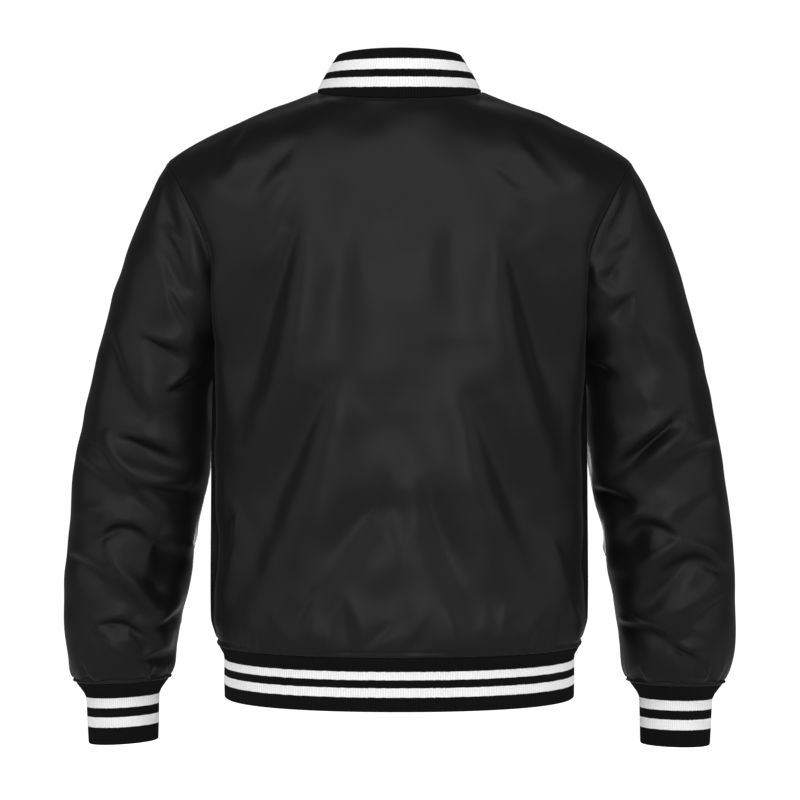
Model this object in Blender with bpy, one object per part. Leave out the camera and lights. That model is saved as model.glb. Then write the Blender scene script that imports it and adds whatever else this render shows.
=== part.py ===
# Varsity jacket: satin back, fronts and set-in sleeves, with a striped rib-knit collar, hem band and cuffs.
# It keeps the hollow form of a worn jacket, arms hanging, closed at the front with snaps.
# Units are metres and +Z is up. The front faces -Y and the wearer's left is +X. The origin lies on the
# centre plane, level with the inner ends of the shoulder seams, where the wearer's shoulders carry it.
#
# Every cloth piece is a grid of points on its outer face. A second grid lies one wall thickness inside it,
# and the two are closed along the seams. Pieces that are sewn together share their seam points, and each
# one stops half a seam gap short of them.

import math
from collections import namedtuple

import bmesh
import bpy
import numpy as np

# ---------------------------------------------------------------- driving sizes
CLOTH_WALL = 0.002
RIB_WALL = 0.003
SEAM_GAP = 0.0003
MITRE_LIMIT = 0.5

SHOULDER_TIP_Z = -0.0717
ARMPIT_Z = -0.278
HEM_SEAM_Z = -0.588

NECK_HALF_WIDTH = 0.088
NECK_BACK_DEPTH = 0.0725
NECK_FRONT_DEPTH = 0.085
NECK_SIDE_Z = 0.000
NECK_BACK_Z = -0.0113
NECK_FRONT_Z = -0.0724

COLLAR_TOP_HALF_WIDTH = 0.0650
COLLAR_TOP_BACK_DEPTH = 0.0700
COLLAR_TOP_FRONT_DEPTH = 0.0740
COLLAR_TOP_Z = 0.0422
COLLAR_TOP_FRONT_DROP = 0.0712
COLLAR_BULGE = 0.0015
COLLAR_END_GAP = 0.0025
COLLAR_END_RADIUS = 0.035
COLLAR_END_HEIGHT = 0.15

LAP_HALF_WIDTH = 0.015
LAP_RAMP_START = 0.020
LAP_RAMP_END = 0.045
LAP_CLEARANCE = 0.0006
RIB_LAP_CLEARANCE = 0.0014
LAP_DEEP_NECK_Z = (-0.108, -0.084)
LAP_DEEP_HEM_Z = (-0.550, -0.580)

SNAP_RADIUS = 0.0075
SNAP_HEIGHTS = (-0.105, -0.190, -0.275, -0.360, -0.445, -0.530)

# Grid sizes: the shoulder half of the armhole, the sides below it, and the columns of half a body.
ARMHOLE_STEPS = 13
SIDE_LEVELS = (1.08, 1.17, 1.26, 1.35, 1.44, 1.53, 1.62, 1.71, 1.80, 1.87, 1.93, 1.97, 2.0)
NECK_TURNS = (0.0, 0.20, 0.50, 0.84, 1.20, math.pi / 2)
NECK_COLUMNS = len(NECK_TURNS) - 1
SHOULDER_COLUMNS = 10
SLEEVE_RINGS = 28
COLLAR_ROWS = 4

# ---------------------------------------------------------------- tables of sections
# The armhole, by angle from the shoulder tip (0) to the armpit (180). Its height follows the cosine.
Armhole = namedtuple("Armhole", "angle back_x back_y front_x front_y")
ARMHOLE = [
    Armhole(0, 0.2475, 0.000, 0.2475, 0.000),
    Armhole(20, 0.2438, 0.026, 0.2430, -0.025),
    Armhole(40, 0.2338, 0.048, 0.2310, -0.046),
    Armhole(60, 0.2193, 0.064, 0.2140, -0.062),
    Armhole(77, 0.2048, 0.070, 0.1990, -0.069),
    Armhole(90, 0.1965, 0.069, 0.1895, -0.070),
    Armhole(105, 0.1905, 0.063, 0.1845, -0.067),
    Armhole(120, 0.1875, 0.055, 0.1830, -0.060),
    Armhole(135, 0.1868, 0.044, 0.1835, -0.049),
    Armhole(150, 0.1874, 0.031, 0.1850, -0.034),
    Armhole(165, 0.1886, 0.016, 0.1874, -0.017),
    Armhole(180, 0.1895, 0.000, 0.1895, 0.000),
]

# The side seam, by level from the armpit (1) to the hem seam (2).
SideSeam = namedtuple("SideSeam", "level x y z")
SIDE_SEAM = [
    SideSeam(1.00, 0.1895, 0.000, ARMPIT_Z),
    SideSeam(1.08, 0.1962, 0.005, -0.302),
    SideSeam(1.25, 0.1993, 0.012, -0.357),
    SideSeam(1.50, 0.2006, 0.016, -0.437),
    SideSeam(1.75, 0.2012, 0.018, -0.518),
    SideSeam(1.88, 0.2008, 0.018, -0.558),
    SideSeam(1.95, 0.1972, 0.016, -0.575),
    SideSeam(2.00, 0.1926, 0.012, HEM_SEAM_Z),
]

# Sections across half the body. Each runs from the centre line to the armhole or side seam as one curve:
# reach and drop place its handle at the centre, out, turn and lift the handle at its edge.
# Level 0 is the ridge of the shoulders, 1 the armpit and 2 the hem seam.
Section = namedtuple("Section", "level centre_y centre_z reach drop out turn lift")
BACK = [
    Section(0.000, 0.0000, 0.0180, 0.100, -0.012, -0.0475, 0.000, 0.0337),
    Section(0.083, 0.0340, 0.0120, 0.100, -0.010, -0.0450, 0.008, 0.0330),
    Section(0.167, 0.0620, -0.0030, 0.103, -0.008, -0.0350, 0.018, 0.0300),
    Section(0.250, 0.0830, -0.0270, 0.107, -0.006, -0.0200, 0.028, 0.0270),
    Section(0.333, 0.0985, -0.0560, 0.112, -0.005, -0.0040, 0.035, 0.0220),
    Section(0.417, 0.1095, -0.0870, 0.116, -0.003, 0.0100, 0.037, 0.0160),
    Section(0.500, 0.1165, -0.1190, 0.118, -0.002, 0.0190, 0.040, 0.0140),
    Section(0.667, 0.1240, -0.1760, 0.120, 0.000, 0.0460, 0.048, 0.0100),
    Section(0.833, 0.1260, -0.2310, 0.120, 0.000, 0.0480, 0.060, 0.0050),
    Section(1.000, 0.1250, -0.2820, 0.120, 0.000, 0.0420, 0.078, 0.0000),
    Section(1.250, 0.1210, -0.3600, 0.118, 0.000, 0.0100, 0.078, 0.0000),
    Section(1.500, 0.1190, -0.4400, 0.116, 0.000, 0.0020, 0.072, 0.0000),
    Section(1.750, 0.1205, -0.5200, 0.116, 0.000, 0.0010, 0.072, 0.0000),
    Section(1.900, 0.1250, -0.5660, 0.117, 0.000, 0.0000, 0.074, 0.0000),
    Section(2.000, 0.1225, HEM_SEAM_Z, 0.112, 0.000, 0.0000, 0.070, 0.0000),
]
FRONT = [
    Section(0.000, 0.0000, 0.0180, 0.100, -0.012, -0.0475, 0.000, 0.0337),
    Section(0.083, -0.0300, 0.0020, 0.100, -0.008, -0.0450, -0.008, 0.0330),
    Section(0.167, -0.0550, -0.0280, 0.103, 0.000, -0.0350, -0.018, 0.0300),
    Section(0.250, -0.0770, -0.0600, 0.107, 0.004, -0.0200, -0.028, 0.0270),
    Section(0.333, -0.0960, -0.0920, 0.110, 0.004, -0.0060, -0.034, 0.0200),
    Section(0.417, -0.1130, -0.1220, 0.113, 0.002, 0.0060, -0.038, 0.0140),
    Section(0.500, -0.1270, -0.1520, 0.116, 0.000, 0.0130, -0.044, 0.0100),
    Section(0.667, -0.1400, -0.2000, 0.118, 0.000, 0.0180, -0.052, 0.0060),
    Section(0.833, -0.1445, -0.2450, 0.118, 0.000, 0.0100, -0.062, 0.0030),
    Section(1.000, -0.1450, -0.2870, 0.118, 0.000, -0.0040, -0.078, 0.0000),
    Section(1.250, -0.1420, -0.3630, 0.117, 0.000, -0.0060, -0.080, 0.0000),
    Section(1.500, -0.1380, -0.4410, 0.116, 0.000, -0.0040, -0.080, 0.0000),
    Section(1.750, -0.1360, -0.5200, 0.116, 0.000, -0.0020, -0.080, 0.0000),
    Section(1.900, -0.1390, -0.5660, 0.117, 0.000, 0.0000, -0.082, 0.0000),
    Section(2.000, -0.1330, HEM_SEAM_Z, 0.112, 0.000, 0.0000, -0.078, 0.0000),
]

# Rings of the left sleeve, from the armhole (0) to the cuff seam (13). Each ring is an ellipse between a
# point on the sleeve's outer line and one on its inner line.
Ring = namedtuple("Ring", "station outer_x outer_z inner_x inner_z half_depth middle_y")
SLEEVE = [
    Ring(0, 0.2475, SHOULDER_TIP_Z, 0.1895, ARMPIT_Z, 0.0700, 0.000),
    Ring(1, 0.2716, -0.1180, 0.2005, -0.2805, 0.0730, -0.004),
    Ring(2, 0.2918, -0.1663, 0.2040, -0.2890, 0.0740, -0.008),
    Ring(3, 0.3072, -0.2145, 0.2036, -0.3020, 0.0740, -0.012),
    Ring(4, 0.3215, -0.2631, 0.2026, -0.3200, 0.0735, -0.015),
    Ring(5, 0.3340, -0.3120, 0.2024, -0.3440, 0.0730, -0.018),
    Ring(6, 0.3445, -0.3603, 0.2026, -0.3780, 0.0720, -0.020),
    Ring(7, 0.3525, -0.4092, 0.2078, -0.4200, 0.0710, -0.022),
    Ring(8, 0.3585, -0.4617, 0.2182, -0.4675, 0.0700, -0.024),
    Ring(9, 0.3611, -0.5132, 0.2255, -0.5145, 0.0690, -0.026),
    Ring(10, 0.3616, -0.5581, 0.2335, -0.5570, 0.0670, -0.028),
    Ring(11, 0.3599, -0.5912, 0.2392, -0.5880, 0.0640, -0.029),
    Ring(12, 0.3560, -0.6148, 0.2440, -0.6105, 0.0580, -0.030),
    Ring(13, 0.3496, -0.6305, 0.2487, -0.6262, 0.0460, -0.030),
]
ARMHOLE_FADE = 1.6

# A rib band below a seam: how far below it, and how far it has drawn in from the seam's line.
Band = namedtuple("Band", "down inset")
HEM_BAND = [
    Band(0.000, 0.0000),
    Band(0.006, 0.0032),
    Band(0.013, 0.0064),
    Band(0.033, 0.0062),
    Band(0.057, 0.0066),
]
CUFF_BAND = [
    Band(0.000, 0.0000),
    Band(0.008, 0.0060),
    Band(0.016, 0.0108),
    Band(0.040, 0.0118),
    Band(0.0665, 0.0128),
]
CUFF_LEAN = 0.015

# ---------------------------------------------------------------- tables of folds
# A fold runs from its start to its end, seen from behind or in front, bowed sideways in its middle.
# Its depth is negative in a trough and positive on a ridge.
Fold = namedtuple("Fold", "start_x start_z end_x end_z bow width depth")
SLEEVE_LEFT_BACK = [
    Fold(0.247, -0.097, 0.222, -0.170, 0.004, 0.008, -0.0055),
    Fold(0.245, -0.150, 0.210, -0.218, 0.004, 0.007, -0.0050),
    Fold(0.249, -0.182, 0.208, -0.268, -0.006, 0.009, 0.0050),
    Fold(0.239, -0.212, 0.212, -0.250, 0.003, 0.009, -0.0070),
    Fold(0.240, -0.312, 0.206, -0.298, 0.000, 0.009, -0.0075),
    Fold(0.302, -0.261, 0.264, -0.350, -0.004, 0.014, -0.0050),
    Fold(0.309, -0.360, 0.223, -0.404, -0.014, 0.010, 0.0085),
    Fold(0.270, -0.414, 0.212, -0.422, 0.000, 0.009, -0.0100),
    Fold(0.334, -0.391, 0.272, -0.434, 0.004, 0.014, -0.0065),
    Fold(0.316, -0.469, 0.250, -0.484, 0.010, 0.010, -0.0090),
    Fold(0.306, -0.474, 0.246, -0.560, -0.012, 0.009, 0.0075),
    Fold(0.350, -0.491, 0.282, -0.541, 0.004, 0.014, -0.0065),
    Fold(0.318, -0.562, 0.250, -0.590, 0.004, 0.010, -0.0075),
    Fold(0.256, -0.562, 0.230, -0.550, 0.000, 0.010, -0.0070),
]
SLEEVE_RIGHT_BACK = [
    Fold(-0.240, -0.100, -0.204, -0.175, 0.004, 0.010, -0.0070),
    Fold(-0.241, -0.158, -0.210, -0.184, 0.000, 0.008, -0.0040),
    Fold(-0.242, -0.216, -0.208, -0.242, 0.006, 0.011, -0.0085),
    Fold(-0.232, -0.202, -0.206, -0.196, -0.004, 0.009, 0.0055),
    Fold(-0.284, -0.349, -0.211, -0.407, 0.002, 0.011, -0.0105),
    Fold(-0.301, -0.354, -0.214, -0.416, 0.004, 0.012, 0.0075),
    Fold(-0.337, -0.375, -0.262, -0.419, 0.004, 0.013, -0.0050),
    Fold(-0.206, -0.420, -0.252, -0.436, 0.004, 0.010, -0.0090),
    Fold(-0.294, -0.470, -0.220, -0.496, -0.016, 0.011, -0.0085),
    Fold(-0.292, -0.472, -0.222, -0.504, 0.010, 0.009, 0.0065),
    Fold(-0.341, -0.504, -0.250, -0.541, -0.018, 0.012, -0.0085),
    Fold(-0.335, -0.508, -0.246, -0.552, 0.012, 0.012, 0.0070),
    Fold(-0.226, -0.564, -0.290, -0.577, 0.004, 0.010, -0.0090),
    Fold(-0.292, -0.588, -0.322, -0.599, 0.000, 0.008, -0.0055),
]
SLEEVE_LEFT_FRONT = [
    Fold(0.242, -0.110, 0.208, -0.190, 0.004, 0.010, -0.0065),
    Fold(0.244, -0.190, 0.210, -0.232, 0.004, 0.010, -0.0070),
    Fold(0.296, -0.330, 0.216, -0.372, -0.010, 0.012, -0.0085),
    Fold(0.310, -0.352, 0.222, -0.394, -0.008, 0.012, 0.0070),
    Fold(0.330, -0.402, 0.250, -0.432, 0.006, 0.012, -0.0070),
    Fold(0.300, -0.452, 0.232, -0.482, -0.012, 0.011, -0.0085),
    Fold(0.336, -0.482, 0.252, -0.530, 0.010, 0.012, 0.0070),
    Fold(0.338, -0.516, 0.254, -0.552, -0.010, 0.012, -0.0075),
    Fold(0.312, -0.570, 0.250, -0.590, 0.004, 0.010, -0.0070),
]
SLEEVE_RIGHT_FRONT = [
    Fold(-0.246, -0.104, -0.214, -0.180, 0.004, 0.010, -0.0065),
    Fold(-0.240, -0.202, -0.208, -0.240, 0.004, 0.010, -0.0070),
    Fold(-0.302, -0.318, -0.214, -0.366, 0.008, 0.012, -0.0085),
    Fold(-0.318, -0.344, -0.226, -0.392, 0.008, 0.012, 0.0070),
    Fold(-0.322, -0.418, -0.244, -0.440, -0.006, 0.012, -0.0075),
    Fold(-0.306, -0.462, -0.232, -0.500, 0.012, 0.011, 0.0070),
    Fold(-0.340, -0.486, -0.250, -0.524, -0.010, 0.012, -0.0075),
    Fold(-0.300, -0.546, -0.246, -0.560, 0.004, 0.010, -0.0070),
    Fold(-0.326, -0.576, -0.262, -0.598, 0.004, 0.010, -0.0065),
]
BACK_FOLDS = [
    Fold(0.103, -0.160, 0.152, -0.330, 0.006, 0.022, -0.0060),
    Fold(0.150, -0.320, 0.180, -0.430, 0.000, 0.020, -0.0050),
    Fold(-0.093, -0.165, -0.166, -0.450, -0.006, 0.022, -0.0060),
    Fold(0.095, -0.368, 0.165, -0.530, 0.004, 0.020, -0.0060),
    Fold(0.010, -0.390, 0.082, -0.530, 0.004, 0.020, -0.0050),
    Fold(-0.016, -0.460, -0.058, -0.550, 0.000, 0.014, -0.0050),
    Fold(-0.075, -0.364, -0.140, -0.512, -0.004, 0.020, -0.0060),
    Fold(-0.145, -0.356, -0.178, -0.422, 0.000, 0.018, -0.0050),
    Fold(0.110, -0.100, 0.152, -0.130, 0.000, 0.012, -0.0035),
    Fold(-0.108, -0.100, -0.140, -0.126, 0.000, 0.012, -0.0035),
]
FRONT_FOLDS = [
    Fold(0.100, -0.170, 0.150, -0.330, 0.006, 0.020, -0.0060),
    Fold(0.090, -0.360, 0.160, -0.525, 0.004, 0.020, -0.0060),
    Fold(0.050, -0.440, 0.084, -0.545, 0.000, 0.014, -0.0050),
    Fold(-0.104, -0.180, -0.160, -0.350, -0.006, 0.020, -0.0060),
    Fold(-0.080, -0.340, -0.142, -0.510, -0.004, 0.020, -0.0060),
    Fold(-0.046, -0.450, -0.070, -0.550, 0.000, 0.014, -0.0050),
]

# Puckers where the body is gathered into the hem band: their place across, height and width.
Pucker = namedtuple("Pucker", "x height width depth")
BACK_PUCKERS = [
    Pucker(0.166, 0.040, 0.012, 0.0030),
    Pucker(0.138, 0.030, 0.010, -0.0030),
    Pucker(0.114, 0.034, 0.010, 0.0025),
    Pucker(0.096, 0.052, 0.010, -0.0040),
    Pucker(0.074, 0.044, 0.010, 0.0040),
    Pucker(0.055, 0.050, 0.009, -0.0040),
    Pucker(0.026, 0.060, 0.014, 0.0030),
    Pucker(0.006, 0.026, 0.009, -0.0030),
    Pucker(-0.018, 0.044, 0.012, 0.0030),
    Pucker(-0.050, 0.048, 0.012, -0.0040),
    Pucker(-0.074, 0.034, 0.010, 0.0030),
    Pucker(-0.096, 0.044, 0.010, -0.0040),
    Pucker(-0.122, 0.034, 0.012, 0.0030),
    Pucker(-0.150, 0.040, 0.012, -0.0030),
]
FRONT_PUCKERS = [
    Pucker(0.164, 0.036, 0.012, -0.0030),
    Pucker(0.136, 0.040, 0.011, 0.0030),
    Pucker(0.110, 0.046, 0.010, -0.0040),
    Pucker(0.084, 0.034, 0.010, 0.0030),
    Pucker(0.058, 0.040, 0.010, -0.0030),
    Pucker(-0.060, 0.038, 0.010, -0.0030),
    Pucker(-0.086, 0.046, 0.011, 0.0035),
    Pucker(-0.112, 0.040, 0.010, -0.0040),
    Pucker(-0.140, 0.036, 0.012, 0.0030),
    Pucker(-0.166, 0.036, 0.012, -0.0030),
]

# ---------------------------------------------------------------- materials: colour and roughness
SATIN = ("black_satin", (0.020, 0.020, 0.022, 1.0), 0.42)
RIB_KNIT = ("black_rib_knit", (0.013, 0.013, 0.014, 1.0), 0.90)
SNAP_ENAMEL = ("black_snap_enamel", (0.012, 0.012, 0.013, 1.0), 0.28)


# ---------------------------------------------------------------- curves from tables
def column(table, name):
    return np.array([getattr(row, name) for row in table])


def smooth(table, key, name, at):
    """A curve through one column of a table that bends gently at each row and never overshoots it."""
    x = column(table, key)
    y = column(table, name)
    step = np.diff(x)
    slope = np.diff(y) / step
    tangent = np.zeros_like(y)
    tangent[0] = slope[0]
    tangent[-1] = slope[-1]
    for i in range(1, len(y) - 1):
        if slope[i - 1] * slope[i] > 0:
            before = 2 * step[i] + step[i - 1]
            after = step[i] + 2 * step[i - 1]
            tangent[i] = (before + after) / (before / slope[i - 1] + after / slope[i])
    at = np.asarray(at, dtype=float)
    i = np.clip(np.searchsorted(x, at, side="right") - 1, 0, len(x) - 2)
    u = (at - x[i]) / step[i]
    low = (1 + 2 * u) * (1 - u) ** 2 * y[i] + u * (1 - u) ** 2 * step[i] * tangent[i]
    high = u * u * (3 - 2 * u) * y[i + 1] + u * u * (u - 1) * step[i] * tangent[i + 1]
    return low + high


def ease(u):
    """Rises smoothly from 0 to 1."""
    u = np.clip(u, 0.0, 1.0)
    return u * u * (3 - 2 * u)


def points(x, y, z):
    return np.stack(np.broadcast_arrays(x, y, z), axis=-1)


def unit(vectors):
    length = np.linalg.norm(vectors, axis=-1, keepdims=True)
    return vectors / np.maximum(length, 1e-12)


def bezier(a, b, c, d, u):
    u = u[..., None]
    v = 1 - u
    return v ** 3 * a + 3 * v * v * u * b + 3 * v * u * u * c + u ** 3 * d


# ---------------------------------------------------------------- the body
def armhole_point(side, angle):
    """The left armhole at an angle from the shoulder tip, on its back or its front half."""
    middle = (SHOULDER_TIP_Z + ARMPIT_Z) / 2
    half = (SHOULDER_TIP_Z - ARMPIT_Z) / 2
    z = middle + half * np.cos(np.radians(angle))
    x = smooth(ARMHOLE, "angle", side + "_x", angle)
    y = smooth(ARMHOLE, "angle", side + "_y", angle)
    return points(x, y, z)


def body_point(side, level, across):
    """The left half of the back or front: across is 0 on the centre line and 1 at the armhole or side."""
    level, across = np.broadcast_arrays(level, across)
    table = BACK if side == "back" else FRONT
    get = {name: smooth(table, "level", name, level) for name in Section._fields[1:]}
    below = np.maximum(level, 1.0)
    seam = points(*[smooth(SIDE_SEAM, "level", name, below) for name in ("x", "y", "z")])
    edge = np.where((level <= 1.0)[..., None], armhole_point(side, 180 * np.minimum(level, 1.0)), seam)
    zero = np.zeros_like(level)
    centre = points(zero, get["centre_y"], get["centre_z"])
    centre_handle = centre + points(get["reach"], zero, get["drop"])
    edge_handle = edge + points(get["out"], get["turn"], get["lift"])
    return bezier(centre, centre_handle, edge_handle, edge, across)


def neck_point(turn):
    """The neck seam by angle: 0 at the centre front, 90 on the left shoulder, 180 at the centre back."""
    back = np.cos(turn) < 0
    depth = np.where(back, NECK_BACK_DEPTH, NECK_FRONT_DEPTH)
    end_z = np.where(back, NECK_BACK_Z, NECK_FRONT_Z)
    y = -depth * np.cos(turn)
    z = NECK_SIDE_Z + (end_z - NECK_SIDE_Z) * np.abs(np.cos(turn))
    return points(NECK_HALF_WIDTH * np.sin(turn), y, z)


def bisect(low, high, is_above):
    """The place between low and high where is_above turns true, for whole arrays at once."""
    for _ in range(40):
        middle = (low + high) / 2
        above = is_above(middle)
        high = np.where(above, middle, high)
        low = np.where(above, low, middle)
    return (low + high) / 2


def body_columns():
    """Places across half the body: first those that end on the neck seam, then those on the shoulder."""
    zero = np.zeros(1)
    neck_end = bisect(zero, zero + 1, lambda u: body_point("back", zero, u)[..., 0] > NECK_HALF_WIDTH)[0]
    neck = neck_end * np.sin(NECK_TURNS)
    shoulder = neck_end + (1 - neck_end) * np.linspace(0, 1, SHOULDER_COLUMNS + 1)[1:]
    return neck, shoulder


def half_body(side):
    """The grid of half the back or of half a front, cut out at the neck seam."""
    neck, shoulder = body_columns()
    depth = NECK_BACK_DEPTH if side == "back" else NECK_FRONT_DEPTH

    def outside_neck(level):
        p = body_point(side, level, neck)
        return (p[..., 0] / NECK_HALF_WIDTH) ** 2 + (p[..., 1] / depth) ** 2 > 1

    start = bisect(np.zeros_like(neck), np.zeros_like(neck) + 0.6, outside_neck)
    start[-1] = 0.0
    start = np.concatenate([start, np.zeros(len(shoulder))])
    across = np.concatenate([neck, shoulder])
    upper = np.linspace(0, 1, ARMHOLE_STEPS + 1)[:, None]
    level = np.concatenate([start + (1 - start) * upper, np.array(SIDE_LEVELS)[:, None] + 0 * across])
    grid = body_point(side, level, across + 0 * level)
    # The neck edge is moved onto the seam's own curve, and the rows below it follow less and less.
    turn = np.arctan2(grid[0, :len(neck), 0] / NECK_HALF_WIDTH, -grid[0, :len(neck), 1] / depth)
    shift = neck_point(turn) - grid[0, :len(neck)]
    for row in range(4):
        grid[row, :len(neck)] += shift * (1 - row / 4) ** 2
    return grid


def mirrored(grid):
    return grid[:, ::-1] * np.array([-1.0, 1.0, 1.0])


def with_lap(half):
    """A front panel continued past the centre line."""
    lap = half[:, :1] * np.array([0.0, 1.0, 1.0]) - np.array([LAP_HALF_WIDTH, 0.0, 0.0])
    return np.concatenate([lap, half], axis=1)


def tuck_under(front):
    """Sinks the right front's edge below the left front's, deeper at both ends where the rib is thicker."""
    z = front.grid[..., 2]
    start, end = LAP_DEEP_NECK_Z
    at_neck = ease((z - start) / (end - start))
    start, end = LAP_DEEP_HEM_Z
    at_hem = ease((z - start) / (end - start))
    shallow = CLOTH_WALL + LAP_CLEARANCE
    deep = RIB_WALL + RIB_LAP_CLEARANCE
    sunk = shallow + (deep - shallow) * np.maximum(at_neck, at_hem)
    ramp = (np.abs(front.grid[..., 0]) - LAP_RAMP_START) / (LAP_RAMP_END - LAP_RAMP_START)
    front.push(-sunk * (1 - ease(ramp)))


# ---------------------------------------------------------------- the sleeves
def sleeve_point(station, angle):
    """The left sleeve: angle 0 is its outer line, 90 its back, 180 its inner line and 270 its front."""
    station, angle = np.broadcast_arrays(station, angle)
    get = {name: smooth(SLEEVE, "station", name, station) for name in Ring._fields[1:]}
    start = SLEEVE[0]
    turn = np.radians(angle)
    zero = np.zeros_like(turn)

    def ellipse(outer_x, outer_z, inner_x, inner_z, half_depth, middle_y):
        middle = points((outer_x + inner_x) / 2, middle_y, (outer_z + inner_z) / 2)
        along = points((outer_x - inner_x) / 2, zero, (outer_z - inner_z) / 2)
        return middle + along * np.cos(turn)[..., None] + points(zero, half_depth * np.sin(turn), zero)

    ring = ellipse(**get)
    first = ellipse(*start[1:])
    down = np.where(angle <= 180, angle, 360 - angle)
    back = armhole_point("back", down)
    front = armhole_point("front", down)
    armhole = np.where((angle <= 180)[..., None], back, front)
    fade = 1 - ease(station / ARMHOLE_FADE)
    return ring + fade[..., None] * (armhole - first)


# ---------------------------------------------------------------- folds
def bowed_path(fold, steps=10):
    start = np.array([fold.start_x, fold.start_z])
    end = np.array([fold.end_x, fold.end_z])
    run = end - start
    sideways = np.array([-run[1], run[0]]) / np.linalg.norm(run)
    middle = (start + end) / 2 + 2 * fold.bow * sideways
    u = np.linspace(0, 1, steps + 1)[:, None]
    return (1 - u) ** 2 * start + 2 * u * (1 - u) * middle + u * u * end


def fold_depth(x, z, folds):
    """How far the folds push each point out, as seen square to the X-Z plane."""
    total = np.zeros_like(x)
    for fold in folds:
        path = bowed_path(fold)
        nearest = np.full(x.shape, np.inf)
        along = np.zeros_like(x)
        for i in range(len(path) - 1):
            run = path[i + 1] - path[i]
            u = ((x - path[i][0]) * run[0] + (z - path[i][1]) * run[1]) / (run @ run)
            u = np.clip(u, 0, 1)
            away = np.hypot(x - path[i][0] - u * run[0], z - path[i][1] - u * run[1])
            closer = away < nearest
            nearest = np.where(closer, away, nearest)
            along = np.where(closer, (i + u) / (len(path) - 1), along)
        tapered = np.sqrt(np.sin(math.pi * along))
        total += fold.depth * tapered * np.exp(-(nearest / fold.width) ** 2)
    return total


def pucker_depth(x, z, puckers):
    """The gathers above the hem seam: they swell out quickly and die away upwards."""
    above = z - HEM_SEAM_Z
    total = np.zeros_like(x)
    for pucker in puckers:
        rise = ease(above / 0.008) * (1 - ease(above / pucker.height))
        total += pucker.depth * rise * np.exp(-((x - pucker.x) / pucker.width) ** 2)
    return total


# ---------------------------------------------------------------- shells
class Sheet:
    """The outer face of one cloth piece: a grid of points, closed into a tube where it wraps round."""

    def __init__(self, name, grid, wall, wraps=False):
        self.name = name
        self.grid = grid
        self.wall = wall
        self.wraps = wraps
        self.normals = self.find_normals()
        self.mitre = np.ones(grid.shape[:2])

    def find_normals(self):
        """Unit normals that point out of the garment."""
        grid = self.grid
        down = np.gradient(grid, axis=0)
        if self.wraps:
            round_ = (np.roll(grid, -1, axis=1) - np.roll(grid, 1, axis=1)) / 2
            hint = grid - grid.mean(axis=1, keepdims=True)
        else:
            round_ = np.gradient(grid, axis=1)
            hint = grid - np.array([0.0, 0.0, -0.3])
        normals = unit(np.cross(round_, down))
        if np.sum(normals * hint) < 0:
            normals = -normals
        return normals

    def push(self, depth):
        self.grid = self.grid + self.normals * depth[..., None]
        self.normals = self.find_normals()

    def seams(self):
        """Each open edge as (the edge's row or column, the next one in)."""
        edges = [(np.s_[0], np.s_[1]), (np.s_[-1], np.s_[-2])]
        if not self.wraps:
            edges += [(np.s_[:, 0], np.s_[:, 1]), (np.s_[:, -1], np.s_[:, -2])]
        return edges

    def flatten_edge(self, edge, plane):
        """Turns an edge's normals into the flat of its seam, so that the wall ends square to it."""
        own = self.normals[edge]
        flat = unit(own - np.sum(own * plane, axis=-1, keepdims=True) * plane)
        self.normals[edge] = flat
        self.mitre[edge] = 1 / np.maximum(np.sum(flat * own, axis=-1), MITRE_LIMIT)

    def trim(self):
        """Draws every edge back, square to its seam, by half the gap between two pieces."""
        own = self.find_normals()
        moved = self.grid.copy()
        for edge, inner in self.seams():
            line = self.grid[edge]
            square = unit(np.cross(np.gradient(line, axis=0), self.normals[edge]))
            cloth = unit(self.grid[inner] - line) - own[edge] / 2
            side = np.sign(np.sum(square * cloth, axis=-1, keepdims=True))
            moved[edge] += side * square * SEAM_GAP / 2
        self.grid = moved

    def solid(self, material):
        """The closed wall as an object: outer grid, inner grid and the rims between them."""
        rows, columns = self.grid.shape[:2]
        inner = self.grid - self.normals * (self.wall * self.mitre)[..., None]
        vertices = np.concatenate([self.grid.reshape(-1, 3), inner.reshape(-1, 3)])
        number = np.arange(rows * columns).reshape(rows, columns)
        skin = rows * columns
        last = columns if self.wraps else columns - 1
        faces = []
        for i in range(rows - 1):
            for j in range(last):
                k = (j + 1) % columns
                a, b, c, d = number[i, j], number[i, k], number[i + 1, k], number[i + 1, j]
                across = np.linalg.norm(vertices[a] - vertices[c])
                other = np.linalg.norm(vertices[b] - vertices[d])
                pair = [(a, b, c), (a, c, d)] if across <= other else [(a, b, d), (b, c, d)]
                faces += pair
                faces += [tuple(skin + v for v in reversed(face)) for face in pair]
        for j in range(last):
            k = (j + 1) % columns
            faces.append((number[0, k], number[0, j], skin + number[0, j], skin + number[0, k]))
            faces.append((number[-1, j], number[-1, k], skin + number[-1, k], skin + number[-1, j]))
        if not self.wraps:
            for i in range(rows - 1):
                a, b = number[i, 0], number[i + 1, 0]
                faces.append((a, b, skin + b, skin + a))
                a, b = number[i, -1], number[i + 1, -1]
                faces.append((b, a, skin + a, skin + b))
        return make_object(self.name, vertices, faces, material)


def share_normals(sheets):
    """Gives pieces that meet in a seam the same normals there, so that their walls meet in a mitre."""
    met = {}
    for sheet in sheets:
        for index, point in np.ndenumerate(np.empty(sheet.grid.shape[:2])):
            on_edge = index[0] in (0, sheet.grid.shape[0] - 1)
            on_edge = on_edge or (not sheet.wraps and index[1] in (0, sheet.grid.shape[1] - 1))
            if on_edge:
                key = tuple(np.round(sheet.grid[index], 5))
                met.setdefault(key, []).append((sheet, index))
    for group in met.values():
        if len(group) > 1:
            normals = np.array([sheet.normals[index] for sheet, index in group])
            shared = unit(normals.mean(axis=0))
            cosine = max(float(np.mean(normals @ shared)), MITRE_LIMIT)
            for sheet, index in group:
                sheet.normals[index] = shared
                sheet.mitre[index] = 1 / cosine


def signed_volume(mesh):
    total = 0.0
    for face in mesh.faces:
        a, b, c = (vertex.co for vertex in face.verts)
        total += a.dot(b.cross(c))
    return total


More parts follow.
